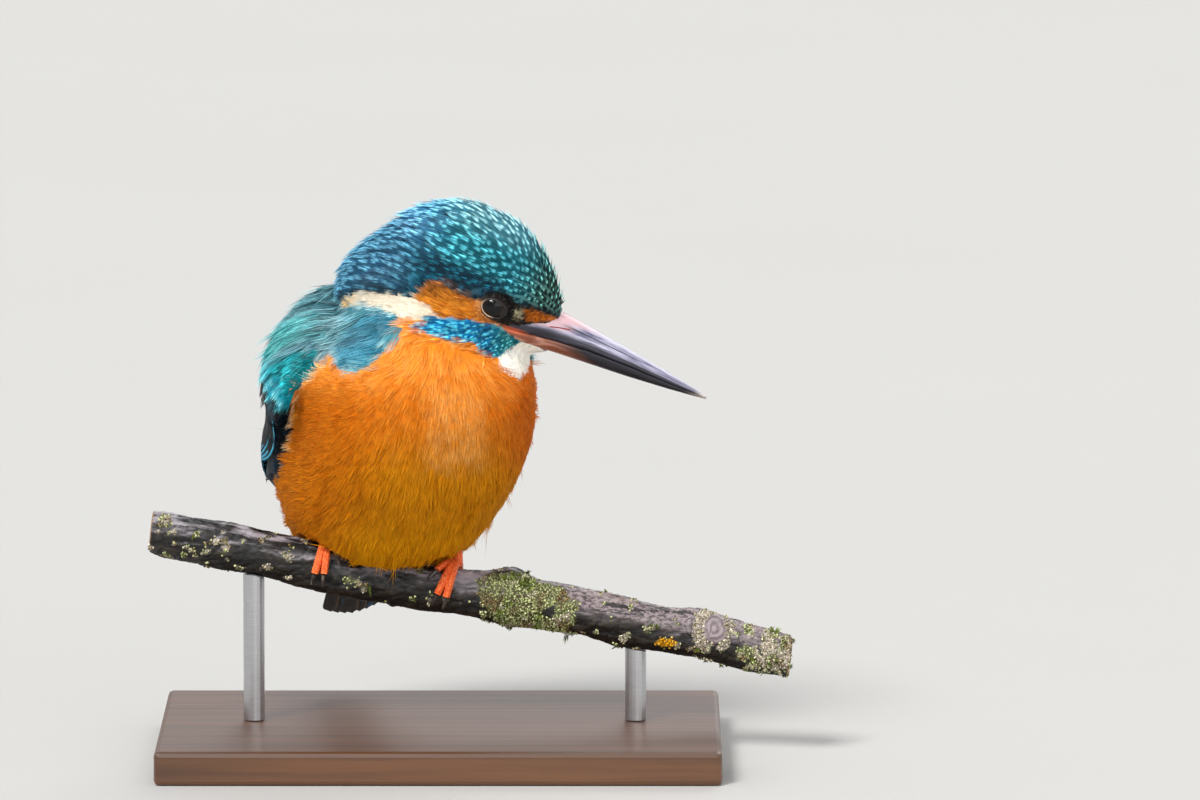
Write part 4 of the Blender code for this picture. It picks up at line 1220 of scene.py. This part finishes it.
def buildBill():
    top, board, shader = newFinish("billUpper", {"Roughness": 0.32, "Specular IOR Level": 0.5})
    s, t, fall = board.own("s"), board.own("t"), board.own("fall")
    run = board.add("ShaderNodeCombineXYZ", {}, {0: s * 0.12, 1: fall * 9.0})
    streak, fine = board.noise(1.0, 4.0, run), board.noise(3.0, 3.0, run)
    dark = board.mix("16141c", "3c3a48", board.band(streak, 0.35, 0.7))
    # lilac-grey over the upper half of the upper mandible: painted highlight, the sheen on the dark horn
    lilac = board.mix("5e5c74", "bcbace", board.band(streak + (fine - 0.5) * 0.5, 0.35, 0.7))
    lilac = board.mix(lilac, "605e70", board.band(s, 36.0, 50.0) * 0.6)
    pale = board.mix("dcb2aa", "c8a6b6", streak)
    colour = board.mix(dark, lilac, board.band(fall + (streak - 0.5) * 0.2, 0.74, 0.5))
    # a dark line in the groove under the ridge: painted shade in the groove
    grooveShade = board.band(abs(fall - 0.3), 0.05, 0.015)
    colour = board.mix(colour, "2a2630", grooveShade * board.band(s, 13.0, 18.0) * board.band(s, 40.0, 26.0) * 0.85)
    # pale pink along the culmen near the root: partly the horn's own pink, partly painted highlight on the ridge
    colour = board.mix(colour, pale, board.band(fall + (s - 15.0) * 0.026, 0.4, 0.14))
    # a thin pale line along the ridge: painted highlight
    colour = board.mix(colour, "d2cede", board.band(fall, 0.16, 0.04) * board.band(s, 18.0, 26.0) * 0.55)
    colour = board.mix(colour, pale, board.band(s, 21.0, 14.0) * board.band(fall, 0.62, 0.45) * 0.8)
    colour = board.mix(colour, "d8ccc4", board.band(s, 50.0, 54.0) * 0.9)
    colour = board.mix(colour, "d9603a", board.own("gape"))
    slit = abs(t + 3.0 - s * 0.18)
    colour = board.mix(colour, "7e1a14", board.band(slit, 0.2, 0.08) * board.band(s, 13.4, 14.0) * board.band(
        s, 18.8, 18.0))
    board.feed(shader, "Base Color", colour)
    board.feed(shader, "Roughness", 0.26 + streak * 0.2)
    board.feed(shader, "Normal", board.bump(streak, 0.35, 0.0003))
    low, board, shader = newFinish("billLower", {"Roughness": 0.35})
    s, fall = board.own("s"), board.own("fall")
    streak = board.noise(90.0, 4.0, board.place((1, 9, 9), (0, math.radians(-23), 0)))
    horn = board.mix("0b0c12", "24222c", board.band(streak, 0.35, 0.7))
    root = board.mix("8c4f36", "c08a78", board.band(streak, 0.4, 0.7))
    colour = board.mix(root, horn, board.band(s + fall * 8.0, 19.0, 31.0))
    colour = board.mix(colour, "b8a898", board.band(s, 48.0, 54.0) * 0.8)
    colour = board.mix(colour, "dd6a42", board.own("gape"))
    board.feed(shader, "Base Color", colour)
    board.feed(shader, "Roughness", 0.28 + streak * 0.2)
    board.feed(shader, "Normal", board.bump(streak, 0.35, 0.0003))
    places = np.linspace(0, 1, bill["stations"]) ** 1.1
    rows = np.array(bill["rows"])
    where = rows[0, 0] + places * (rows[-1, 0] - rows[0, 0])
    culmen, mouth, under, half = [np.interp(where, rows[:, 0], rows[:, k]) for k in (1, 2, 3, 4)]
    for _ in range(3):  # rounds the corners between the rows
        for line in (culmen, mouth, under, half):
            line[1:-1] = (line[:-2] + 2 * line[1:-1] + line[2:]) / 4
    for label, finish, lowEdge, node in (("upper", top, mouth + bill["gap"], "bill_upper"),
                                         ("lower", low, mouth - bill["gap"], "bill_lower")):
        rings, facts = [], []
        for k in range(len(where)):
            peak = culmen[k] if label == "upper" else under[k]
            edge = lowEdge[k]
            ring = []
            span = 11
            profile = [(math.sin(math.pi / 2 * j / (span - 1)), j / (span - 1)) for j in range(span)]
            for sign in (1, -1):
                steps = profile[1:] if sign == 1 else profile[:0:-1]
                for across, fall in steps:
                    x = across ** float(billFlank(where[k]))
                    y = peak + (edge - peak) * (1 - math.cos(math.pi / 2 * fall)) ** 0.95
                    dent = 0.0
                    a0, a1, h0, h1 = bill["nostril"]
                    if label == "upper" and a0 < where[k] < a1:
                        middle = h0 + (h1 - h0) * (where[k] - a0) / (a1 - a0)
                        dent = math.exp(-((y - middle) / 0.3) ** 2)
                        dent *= math.sin(math.pi * (where[k] - a0) / (a1 - a0))
                    ring.append(headPlace(where[k], sign * half[k] * (x - 0.06 * dent), y))
                    gape = ramp(where[k], 10.5, 6.5) * ramp(abs(y - edge), 0.65, 0.2)
                    facts.append((where[k], y, gape, (y - peak) / (edge - peak)))
                if sign == 1:  # the flat inside of the mouth
                    for x in (0.5, 0.0, -0.5):
                        ring.append(headPlace(where[k], x * half[k], edge))
                        facts.append((where[k], edge, 0.0, 1.0))
            ring.append(headPlace(where[k], 0, peak))
            facts.append((where[k], peak, 0.0, 0.0))
            rings.append(ring)
        piece = ringPiece("bill_%s_horn" % label, rings, closed=False, caps=True)
        for name, column in zip(("s", "t", "gape", "fall"), np.array(facts).T):
            keep(piece.data, name, column)
        piece.data.materials.append(finish)
        piece.data.shade_smooth()
        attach(piece, "root")
        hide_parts(node)


quills = {
    "primaries": 10, "secondaries": 9, "start": 13.0, "tips": (-50.0, -39.0), "innerTips": (-36.0, -16.0),
    "width": 5.0, "thick": 0.2, "stations": 22, "swell": 2.0, "tail": 12, "tailWidth": 3.9,
}
wingRows = [(29.0, 24.0, 46.0), (23.0, 2.0, 64.0), (12.0, -2.0, 70.0), (2.0, 2.0, 71.0), (-10.0, 4.0, 70.0),
            (-25.0, 14.0, 68.0), (-38.0, 31.0, 64.0), (-50.0, 47.0, 58.0)]  # along, low and high edge in degrees


def vane(rings, marks, path, normals, width, thick, lean, order):
    # one long feather: a thin closed blade that follows the path, with a raised shaft
    count = len(path)
    cross = [-1.0, -0.7, -0.35, -0.08, 0.0, 0.08, 0.35, 0.7, 1.0]
    start = len(rings)
    for k in range(count):
        x = k / (count - 1)
        ahead = unit(path[min(k + 1, count - 1)] - path[max(k - 1, 0)])
        normal = unit(normals[k] - (normals[k] @ ahead) * ahead)
        aside = np.cross(normal, ahead)
        half = width / 2 * min(1.0, 0.35 + 3.0 * x) * (math.sqrt(max(1 - ((x - 0.86) / 0.14) ** 2, 0.0))
                                                       if x > 0.86 else 1.0)
        half = max(half, 0.06)
        ring = []
        for c in cross:
            shaft = 0.16 * max(0, 1 - abs(c) / 0.09) * (1 - 0.7 * x)
            wide = half * (c * (1 - lean) if c < 0 else c * (1 + lean))
            ring.append(path[k] + aside * wide + normal * (order + thick * (1 - 0.75 * c * c) + shaft))
            marks.append((x, c))
        for c in (0.6, 0.0, -0.6):
            wide = half * (c * (1 - lean) if c < 0 else c * (1 + lean))
            ring.append(path[k] + aside * wide + normal * (order - 0.02))
            marks.append((x, c))
        rings.append(ring)
    return (start, len(rings))


def bladePiece(name, blades, rings, marks, finish):
    points, faces = [p for r in rings for p in r], []
    count = len(rings[0])
    for start, end in blades:
        for i in range(start, end - 1):
            a, b = i * count, (i + 1) * count
            for k in range(count):
                n = (k + 1) % count
                faces.append((a + k, b + k, b + n, a + n))
        faces.append(tuple(start * count + k for k in range(count)))
        faces.append(tuple((end - 1) * count + k for k in range(count))[::-1])
    piece = newPiece(name, np.array(points) / 1000, faces)
    marks = np.array(marks)
    keep(piece.data, "along", marks[:, 0])
    keep(piece.data, "across", marks[:, 1])
    which = np.repeat([random.Random(i).random() for i in range(len(blades))],
                      [(e - s) * count for s, e in blades])
    keep(piece.data, "tuft", which)
    bm = bmesh.new()
    bm.from_mesh(piece.data)
    bmesh.ops.recalc_face_normals(bm, faces=bm.faces)
    bm.to_mesh(piece.data)
    bm.free()
    piece.data.shade_smooth()
    bakeBlades(piece.data, count, blades)
    piece.data.materials.append(finish)
    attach(piece, "root")
    say("%s: %d blades" % (name, len(blades)))
    return piece


def bakeBlades(mesh, count, blades):
    # the blades stand side by side, each in a strip of its own
    along = numbers(mesh.attributes["along"].data, "value", 1)
    across = numbers(mesh.attributes["across"].data, "value", 1)
    which = np.repeat(np.arange(len(blades)), [(e - s) * count for s, e in blades])
    spots = np.stack([0.02 + 0.96 * along, (which + 0.5 + 0.42 * across) / len(blades)], 1)
    layer = mesh.uv_layers.new(name="OFBake", do_init=False)
    layer.uv.foreach_set("vector", spots[cornersOf(mesh)].astype(np.float32).ravel())
    mesh.uv_layers.active = layer


def quillFinish():
    finish, board, shader = newFinish("quills", {"Roughness": 0.55, "Specular IOR Level": 0.12})
    along, across = board.own("along"), board.own("across")
    barbs = board.add("ShaderNodeTexWave", {"wave_type": "BANDS", "bands_direction": "X"}, {
        "Vector": board.add("ShaderNodeCombineXYZ", {}, {0: along * 1.0 + abs(across) * -0.06}),
        "Scale": 42.0, "Distortion": 0.6, "Detail": 1.0}, "Fac")
    outer = board.band(across + board.own("inner") * 0.2, 0.66, 0.76)
    line = abs(across - 0.14)
    line = board.band(line, 0.17, 0.11) * board.band(along, 0.3, 0.5) * board.band(board.own("inner"), 0.45, 0.2)
    colour = board.mix(board.own("tone", "Color"), board.own("tip", "Color"), outer)
    colour = board.mix(colour, board.own("tip", "Color"), line)
    shaft = board.band(abs(across), 0.1, 0.04)
    colour = board.mix(colour, "060708", shaft)
    board.feed(shader, "Base Color", board.dim(colour, 0.8 + barbs * 0.4))
    board.feed(shader, "Normal", board.bump(barbs, 0.4, 0.0002))
    return finish


def buildQuills(skin):
    tree = treeOf(skin.data)
    finish = quillFinish()
    for label, sign in (("right", 1), ("left", -1)):
        rings, marks, blades, tints = [], [], [], []
        plan = []
        for i in range(quills["primaries"]):
            f = i / (quills["primaries"] - 1)
            plan.append((0.07 + 0.24 * f + 0.24 * f ** 3, 0.1 + 0.25 * f + 0.55 * f * f,
                         quills["tips"][0] + (quills["tips"][1] - quills["tips"][0]) * f ** 1.3, i))
        for i in range(quills["secondaries"]):
            f = i / (quills["secondaries"] - 1)
            tip = quills["innerTips"][0] + (quills["innerTips"][1] - quills["innerTips"][0]) * f
            plan.append((0.46 + 0.52 * f, 0.52 + 0.46 * f, tip, quills["primaries"] + i))
        for root, end, tipAt, i in plan:
            path, normals = [], []
            for x in np.linspace(0, 1, quills["stations"]):
                along = quills["start"] + (tipAt - quills["start"]) * x
                low, high = rowsAt(wingRows, along)
                across = root + (end - root) * x
                across += (0.3 - across) * 0.9 * ramp(along, -12, -22) if across < 0.3 else 0.0
                turn = math.radians(low + (high - low) * across)
                out = unit(bodyRight * math.cos(turn) * sign + bodyBack * math.sin(turn))
                axis = bodyMiddle + bodyAlong * along
                hit = hitFrom(tree, axis, out, 60)
                if hit is None:
                    continue
                push = quills["swell"] * ramp(along, -1, -14) * ramp(across, 0.4, 0.2)
                path.append(hit[0] + out * push)
                normals.append(hit[1])
            if len(path) < 8:
                continue
            path, normals = np.array(path), np.array(normals)
            for _ in range(4):
                path[1:-1] = (path[:-2] + 2 * path[1:-1] + path[2:]) / 4
                normals[1:-1] = unit(normals[:-2] + 2 * normals[1:-1] + normals[2:])
            blades.append(vane(rings, marks, path, normals, quills["width"], quills["thick"], -0.25 * sign,
                               0.05 + 0.032 * i))
            tints.append(i)
        if sign == -1:
            marks = [(along, -across) for along, across in marks]
        piece = bladePiece("quills_" + label, blades, rings, marks, finish)
        count = len(rings[0])
        inner = np.repeat(np.array(tints) / 18.0, [(e - s) * count for s, e in blades])[:, None]
        keep(piece.data, "inner", inner[:, 0])
        keep(piece.data, "tone", ink("07090b") + (ink("0e3c4c") - ink("07090b")) * inner, "FLOAT_COLOR")
        keep(piece.data, "tip", ink("56cdf2") + (ink("22a0c0") - ink("56cdf2")) * inner, "FLOAT_COLOR")


def buildTail():
    finish = quillFinish()
    bm = nodeMesh("tail")
    points = np.array([v.co[:] for v in bm.verts]) * 1000
    bm.free()
    centre = points.mean(0)
    axes = np.linalg.eigh(np.cov((points - centre).T))[1]
    run = axes[:, 2] if axes[:, 2] @ -bodyAlong > 0 else -axes[:, 2]
    flat = axes[:, 0] if axes[:, 0] @ bodyBack > 0 else -axes[:, 0]
    aside = np.cross(flat, run)
    reach = (points - centre) @ run
    low, high = reach.min(), reach.max()
    for name, side, count, tone, tip in (("tailTopQuills", 1, quills["tail"], "0c2438", "1b74a8"),
                                         ("tailUnderQuills", -1, 8, "241808", "5a4426")):
        rings, marks, blades = [], [], []
        for i in range(count):
            f = -1 + 2 * i / (count - 1)
            path, normals = [], []
            for x in np.linspace(0, 1, 18):
                far = low + 4 + (high - low - 4 + 0.5 - 2.4 * f * f) * x
                path.append(centre + run * far + aside * f * (4.6 + 1.6 * x)
                            + flat * side * (0.35 + 0.5 * (1 - x) - 0.25 * abs(f)))
                normals.append(unit(flat * side + aside * 0.15 * f))
            blades.append(vane(rings, marks, np.array(path), np.array(normals), quills["tailWidth"], 0.2,
                               0.2 * (1 if f < 0 else -1), 0.03 * (count - abs(2 * i - count))))
        piece = bladePiece(name, blades, rings, marks, finish)
        n = len(piece.data.vertices)
        keep(piece.data, "inner", np.ones(n))
        keep(piece.data, "tone", np.tile(ink(tone), (n, 1)), "FLOAT_COLOR")
        keep(piece.data, "tip", np.tile(ink(tip), (n, 1)), "FLOAT_COLOR")


def dressFeet():
    finish, board, shader = newFinish("footSkin", {"Roughness": 0.45, "Subsurface Weight": 0.15,
                                                   "Subsurface Radius": (0.001, 0.0004, 0.0002),
                                                   "Subsurface Scale": 1.0})
    plates = board.add("ShaderNodeTexVoronoi", {"feature": "DISTANCE_TO_EDGE"},
                       {"Vector": board.place((1, 1, 1)), "Scale": 1500.0}, "Distance")
    grooveShade = board.band(plates, 0.0, 0.12)
    tint = board.mix("ff5a0a", "ff8c46", board.noise(350.0, 3.0))
    # darker red-orange along the grooves between the scales: painted shade in the creases
    board.feed(shader, "Base Color", board.mix("d8440a", tint, grooveShade))
    board.feed(shader, "Normal", board.bump(grooveShade, 0.6, 0.00015))
    horn, board, shader = newFinish("clawHorn", {"Roughness": 0.3})
    streak = board.noise(500.0, 4.0)
    board.feed(shader, "Base Color", board.mix("2a2422", "6a5c52", board.band(streak, 0.4, 0.7)))
    for name, node in nodes.items():
        if name.startswith("leg_") or name.startswith("claw_"):
            dress(node.data, finish if name.startswith("leg_") else horn)


perch = {
    "voxel": 0.5, "bark": 0.34, "cracks": 0.3, "ring": (-11.3, 0.5), "knot": (64.6, 30.6, 4.0), "gold": (53.1, 27.4),
    # height of each swelling, its middle from the front, its reach and the side it is on
    "swellings": [(1.1, (16.7, 42.2), (3.0, 5.0), (0, 0, 1)), (1.0, (15.3, 30.0), (4.0, 5.0), (0, -0.3, -0.95)),
                  (0.7, (20.0, 35.4), (9.0, 6.0), (0, -1, 0)), (0.8, (61.0, 33.7), (4.0, 4.0), (0, 0, 1)),
                  (0.5, (-30.0, 41.0), (6.0, 5.0), (0, 0, -1)), (0.5, (38.0, 27.0), (7.0, 4.0), (0, 0, -1))],
}


def hump(p, middle, reach):  # 1 at a swelling's middle, falling away round it
    return math.exp(-((p[0] - middle[0]) / reach[0]) ** 2 - ((p[2] - middle[1]) / reach[1]) ** 2)


def buildPerch():
    piece = fused("perchBark", ["perch"], perch["voxel"] / 1000, 0.0, 1)
    mesh = piece.data
    points = numbers(mesh.vertices, "co") * 1000
    normals = numbers(mesh.vertex_normals, "vector")
    along = unit(np.array((150.5, -3.0, -29.3)))
    depth, tone, ends, patch, knot, rings = [], [], [], [], [], []
    for p, n in zip(points, normals):
        x = p @ along
        q = Vector((x * 0.16, p[1] * 0.42, p[2] * 0.42))
        ridge = noise.fractal(q, 1.0, 2.0, 4)
        plate = noise.voronoi(Vector((x * 0.28, p[1] * 0.5, p[2] * 0.5)) + Vector((ridge, 0, 0)) * 0.6)[0]
        crack = max(0.0, 1 - (plate[1] - plate[0]) / 0.14)
        fine = noise.noise(Vector(p) * 1.9)
        end = abs(n @ along) > 0.8 and (p[0] < -62 or p[0] > 76)
        ends.append(1.0 if end else 0.0)
        swell = sum(high * hump(p, middle, reach) * max(0.0, n @ np.array(side))
                    for high, middle, reach, side in perch["swellings"])
        swell += perch["ring"][1] * math.exp(-((p[0] - perch["ring"][0]) / 0.9) ** 2)
        far = math.hypot(p[0] - perch["knot"][0], p[2] - perch["knot"][1])
        scar = max(0.0, 1 - far / perch["knot"][2]) * max(0.0, -n[1])
        circle = math.sin(far * 5.2 + 2.0 * noise.noise(Vector(p) * 0.5))
        swell += 0.8 * min(1.0, scar * 3) + 0.14 * circle * min(1.0, scar * 5)
        knot.append(min(1.0, scar * 4))
        rings.append(0.5 + 0.5 * circle)
        relief = swell + perch["bark"] * ridge * 0.6 - perch["cracks"] * crack + 0.1 * fine - 0.12
        depth.append(0.0 if end else relief)
        # bark tone darker down in the cracks and lighter on the raised ridges: painted shade in the cracks
        tone.append(0.5 + 0.5 * ridge - 0.5 * crack)
        patch.append(noise.fractal(Vector(p) * 0.3, 1.0, 2.0, 4))
    points = points + normals * np.array(depth)[:, None]
    placePoints(mesh, points / 1000)
    mesh.shade_smooth()
    patch, x, facing = np.array(patch), points[:, 0], -normals[:, 1]
    keep(mesh, "bark", np.array(tone))
    keep(mesh, "endGrain", np.array(ends))
    blob = 1.15 - ((x - 20.0) / 11.5) ** 2
    green = ramp(blob + 1.5 * patch, 0.25, 0.5) * ramp(facing, -0.35, 0.2) * ramp(normals[:, 2], 0.9, 0.7)
    green = np.maximum(green, ramp(patch + 0.5 * ramp(x, 66, 72), 0.5, 0.65) * ramp(facing, -0.2, 0.3))
    far = np.hypot(x - perch["knot"][0], points[:, 2] - perch["knot"][1])
    torn = np.array([noise.noise(Vector(p) * 0.55 + Vector((0, 0, 4))) for p in points])
    left = ramp(x - perch["knot"][0], 3.0, -2.5)
    crust = (0.5 + 0.5 * left) * ramp(far, 2.6, 3.4) * ramp(far, 6.6, 4.0) + 0.45 * ramp(x, 71, 75)
    white = ramp(0.5 * patch + 0.9 * torn + crust, 0.45, 0.6) * ramp(facing, -0.1, 0.4) * ramp(far, 2.6, 3.4)
    gold = np.array([hump(p, perch["gold"], (2.6, 1.1)) for p in points]) * ramp(facing, 0.2, 0.6)
    # a smooth lilac-grey bark patch between x 14 and 34 mm, only where the bark faces up: partly smooth bark, partly
    # painted top highlight
    lilac = ramp(x, 14, 34) * ramp(normals[:, 2], -0.1, 0.6)
    for name, mask in (("green", green), ("white", white), ("lilac", lilac), ("gold", gold),
                       ("knot", np.array(knot)), ("rings", np.array(rings))):
        keep(mesh, name, np.clip(mask, 0, 1))
    finish, board, shader = newFinish("bark", {"Roughness": 0.55})
    bark = board.own("bark")
    grain = board.noise(420.0, 5.0, board.place((0.25, 1, 1), (0, math.radians(-11), 0)))
    pores = board.noise(1500.0, 3.0, board.place((0.6, 1, 1)))
    cracks = board.noise(330.0, 6.0, board.place((0.22, 1, 1), (0, math.radians(-11), 0)), 0.7)
    # darker where the bark tone is low, down in the cracks: painted shade
    tint = board.mix("040302", "30281f", board.band(bark + grain * 0.5, 0.5, 1.25))
    # pale lilac-grey streaks on the upward-facing bark: painted highlight, a wet sheen from above
    topLight = board.band(board.add("ShaderNodeSeparateXYZ", {}, {0: board.add(
        "ShaderNodeNewGeometry", {}, {}, "Normal")}, 2), 0.0, 0.9)
    topSheenStreaks = board.mix("6e6664", "cac2cc", grain)
    tint = board.mix(tint, topSheenStreaks, topLight * board.band(grain, 0.42, 0.6) * 0.85)
    smooth = board.mix("54484a", board.mix("7e7382", "ac998e", grain), board.band(pores, 0.4, 0.56))
    stains = board.band(board.noise(90.0, 4.0, board.place((0.3, 1, 1))), 0.5, 0.66)
    smooth = board.mix(smooth, "6c5040", stains * 0.7)
    # dark down in its cracks: painted shade
    smooth = board.mix(smooth, "1a1410", board.band(cracks, 0.48, 0.42))
    # the smooth lilac patch on the upward faces: partly smooth bark, partly painted top highlight
    tint = board.mix(tint, smooth, board.own("lilac") * 0.9)
    mould = board.mix("3a3a1a", "7c7e50", pores)
    mould = board.mix(mould, "4e3c24", board.band(board.noise(110.0, 3.0), 0.5, 0.62))
    tint = board.mix(tint, mould, board.own("green") * 0.85)
    tint = board.mix(tint, board.mix("7a6c5c", "d8cebe", pores), board.own("white") * 0.8)
    tint = board.mix(tint, board.mix("8a5c0a", "d29a14", pores), board.band(board.own("gold"), 0.3, 0.6))
    scar = board.mix("4a3e3c", "a8989c", board.own("rings") * 0.75 + grain * 0.3)
    tint = board.mix(tint, scar, board.own("knot") * 0.85)
    wood = board.mix("a88458", "7a5836", board.noise(500.0))
    tint = board.mix(tint, wood, board.own("endGrain"))
    board.feed(shader, "Base Color", tint)
    board.feed(shader, "Normal", board.bump(grain + pores * 0.5, 0.7, 0.0005))
    dress(mesh, finish)
    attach(piece, "root")
    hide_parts("perch")
    say("perch: %d faces" % len(mesh.polygons))
    buildLichen(piece, points, normals, np.clip(green, 0, 1), np.clip(white, 0, 1), np.clip(gold, 0, 1))


lichen = {
    "green": ("585c34", "c6cc94"), "white": ("7c705c", "d6ccba"), "gold": ("9a6808", "e2a81c"),
    "brown": ("4c3a22", "94825c"), "moss": ("48561a", "8c9a40"),
    "spacing": 0.34, "grain": 0.8, "high": 0.36, "mossReach": 1.2, "mossSpacing": 0.8,
}


def grainShelf():
    # small crusty lumps, one long and two across
    shelf = bpy.data.collections.new("lichenGrain")
    for seed in range(5):
        pick = random.Random(seed + 40)
        points, faces = [(0.5, 0, lichen["high"] / 1000)], []
        for reach, high in ((0.55, 0.8), (1.0, -0.3)):
            for k in range(6):
                a, far = math.tau * (k + pick.uniform(-0.25, 0.25)) / 6, 0.5 * reach * pick.uniform(0.75, 1.1)
                points.append((0.5 + far * math.cos(a), 2 * far * math.sin(a),
                               lichen["high"] * high * pick.uniform(0.7, 1.2) / 1000))
        for k in range(6):
            n = (k + 1) % 6
            faces += [(0, 1 + k, 1 + n), (1 + k, 7 + k, 7 + n, 1 + n)]
        faces.append(tuple(12 - k for k in range(6)))
        mesh = bpy.data.meshes.new("lichenGrain")
        mesh.from_pydata(points, [], faces)
        mesh.shade_smooth()
        keep(mesh, "along", [p[0] for p in points])
        keep(mesh, "across", [p[1] for p in points])
        keep(mesh, "thick", [p[2] for p in points])
        keep(mesh, "barb", [pick.random() for _ in points])
        shelf.objects.link(bpy.data.objects.new("lichenGrain%d" % seed, mesh))
    return shelf


def buildLichen(bark, points, normals, green, white, gold):
    mesh = bark.data
    n = len(points)
    brown = ramp([noise.noise(Vector(p) * 0.32 + Vector((0, 9, 0))) for p in points], 0.1, 0.35)
    shades = []
    for k in (0, 1):
        c = np.tile(ink(lichen["green"][k]), (n, 1))
        c = paint(c, brown, ink(lichen["brown"][k]))
        c = paint(c, white, ink(lichen["white"][k]))
        shades.append(paint(c, ramp(gold, 0.2, 0.4), ink(lichen["gold"][k])))
    keep(mesh, "tone", shades[0], "FLOAT_COLOR")
    keep(mesh, "tip", shades[1], "FLOAT_COLOR")
    turns = np.array([noise.noise(Vector(p) * 0.7) for p in points]) * 9
    aside = np.cross(normals, np.array((1.0, 0, 0)))
    lie = np.cos(turns)[:, None] * np.array((1.0, 0, 0)) + np.sin(turns)[:, None] * aside
    keep(mesh, "lie", unit(lie - (lie * normals).sum(1)[:, None] * normals), "FLOAT_VECTOR")
    for label in ("reach", "breadth"):
        keep(mesh, label, np.ones(n))
    keep(mesh, "layer", np.zeros(n))
    around = np.arctan2(normals[:, 2], normals[:, 1])
    keep(mesh, "rootSpot", np.stack([(points[:, 0] + 70) / 155, around / math.tau + 0.5, np.zeros(n)], 1),
         "FLOAT_VECTOR")
    keep(mesh, "onCrust", (np.clip(green + white + ramp(gold, 0.25, 0.5), 0, 1) > 0.4) * 0.85)
    clumps = np.array([noise.noise(Vector(p) * 0.3 + Vector((5, 0, 0))) for p in points])
    keep(mesh, "onMoss", green * (clumps > 0.22))
    tree = bpy.data.node_groups["scatterTufts"]
    crust, moss = grainShelf(), featherShelf("mossTuft", barbs=6, roundness=0.2, ragged=0.5, spread=(0.4, 0.8, 1.4),
                                             thick=0.1)
    crustFinish = featherFinish("lichenCrust", 0.3, 0.8, 0.9, roughness=0.9, specular=0.1)
    mossFinish = featherFinish("mossStems", 0.3, 0.9, 0.9, roughness=0.8, specular=0.15)
    layCoat("lichenCrust", tree, bark, bark, crust, crustFinish, "bark", soft=0.2, Cover="onCrust",
            Spacing=lichen["spacing"] / 1000, Reach=lichen["grain"] / 1000, Breadth=lichen["grain"] / 2000,
            Lift=0.0, Wander=3.0, Bow=1.0, Strays=0.0, Seed=51)
    for k, label in enumerate(("tone", "tip")):
        keep(mesh, label, np.tile(ink(lichen["moss"][k]), (n, 1)), "FLOAT_COLOR")
    layCoat("mossStems", tree, bark, bark, moss, mossFinish, "bark", soft=0.3, Cover="onMoss",
            Spacing=lichen["mossSpacing"] / 1000, Reach=lichen["mossReach"] / 1000, Breadth=0.0006,
            Lift=0.0011, Wander=3.0, Bow=0.8, Strays=0.1, Seed=52)
    for label in ("tone", "tip", "lie", "reach", "breadth", "layer", "rootSpot", "onCrust", "onMoss"):
        mesh.attributes.remove(mesh.attributes[label])


def dressStand():
    wood, board, shader = newFinish("standWood", {"Roughness": 0.42, "Coat Weight": 0.25, "Coat Roughness": 0.25})
    grain = board.noise(26.0, 6.0, board.place((0.12, 1.0, 1.0)), 0.62)
    lines = board.add("ShaderNodeTexWave", {"wave_type": "BANDS", "bands_direction": "Y"},
                      {"Vector": board.place((0.05, 1, 0.5)), "Scale": 95.0, "Distortion": 7.0, "Detail": 3.0,
                       "Detail Scale": 1.2}, "Fac")
    fibres = board.band(board.noise(240.0, 5.0, board.place((0.035, 1, 1)), 0.6), 0.34, 0.68)
    tint = board.mix("3a2416", "6d4629", lines * 0.22 + grain * 0.35 + fibres * 0.5)
    board.feed(shader, "Base Color", tint)
    board.feed(shader, "Normal", board.bump(fibres, 0.12, 0.0002))
    steel, board, shader = newFinish("standSteel", {"Metallic": 1.0, "Roughness": 0.3})
    brush = board.noise(300.0, 3.0, board.place((1, 1, 25)))
    board.feed(shader, "Base Color", board.mix("a8a8aa", "d0d0d2", brush))
    board.feed(shader, "Roughness", 0.22 + brush * 0.22)
    for name, node in nodes.items():
        if name.startswith("stand_"):
            dress(node.data, wood if name == "stand_base" else steel)


buildStudio()
skin, part = buildSkin()
fillGroove(skin)
zones = markSkin(skin, part)
dress(skin.data, skinFinish())
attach(skin, "root")
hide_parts(*fleshNodes)
say("skin: %d faces" % len(skin.data.polygons))
buildCoats(skin, zones)
buildQuills(skin)
buildTail()
buildEyes()
buildBill()
dressFeet()
buildPerch()
dressStand()

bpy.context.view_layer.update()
say("done")
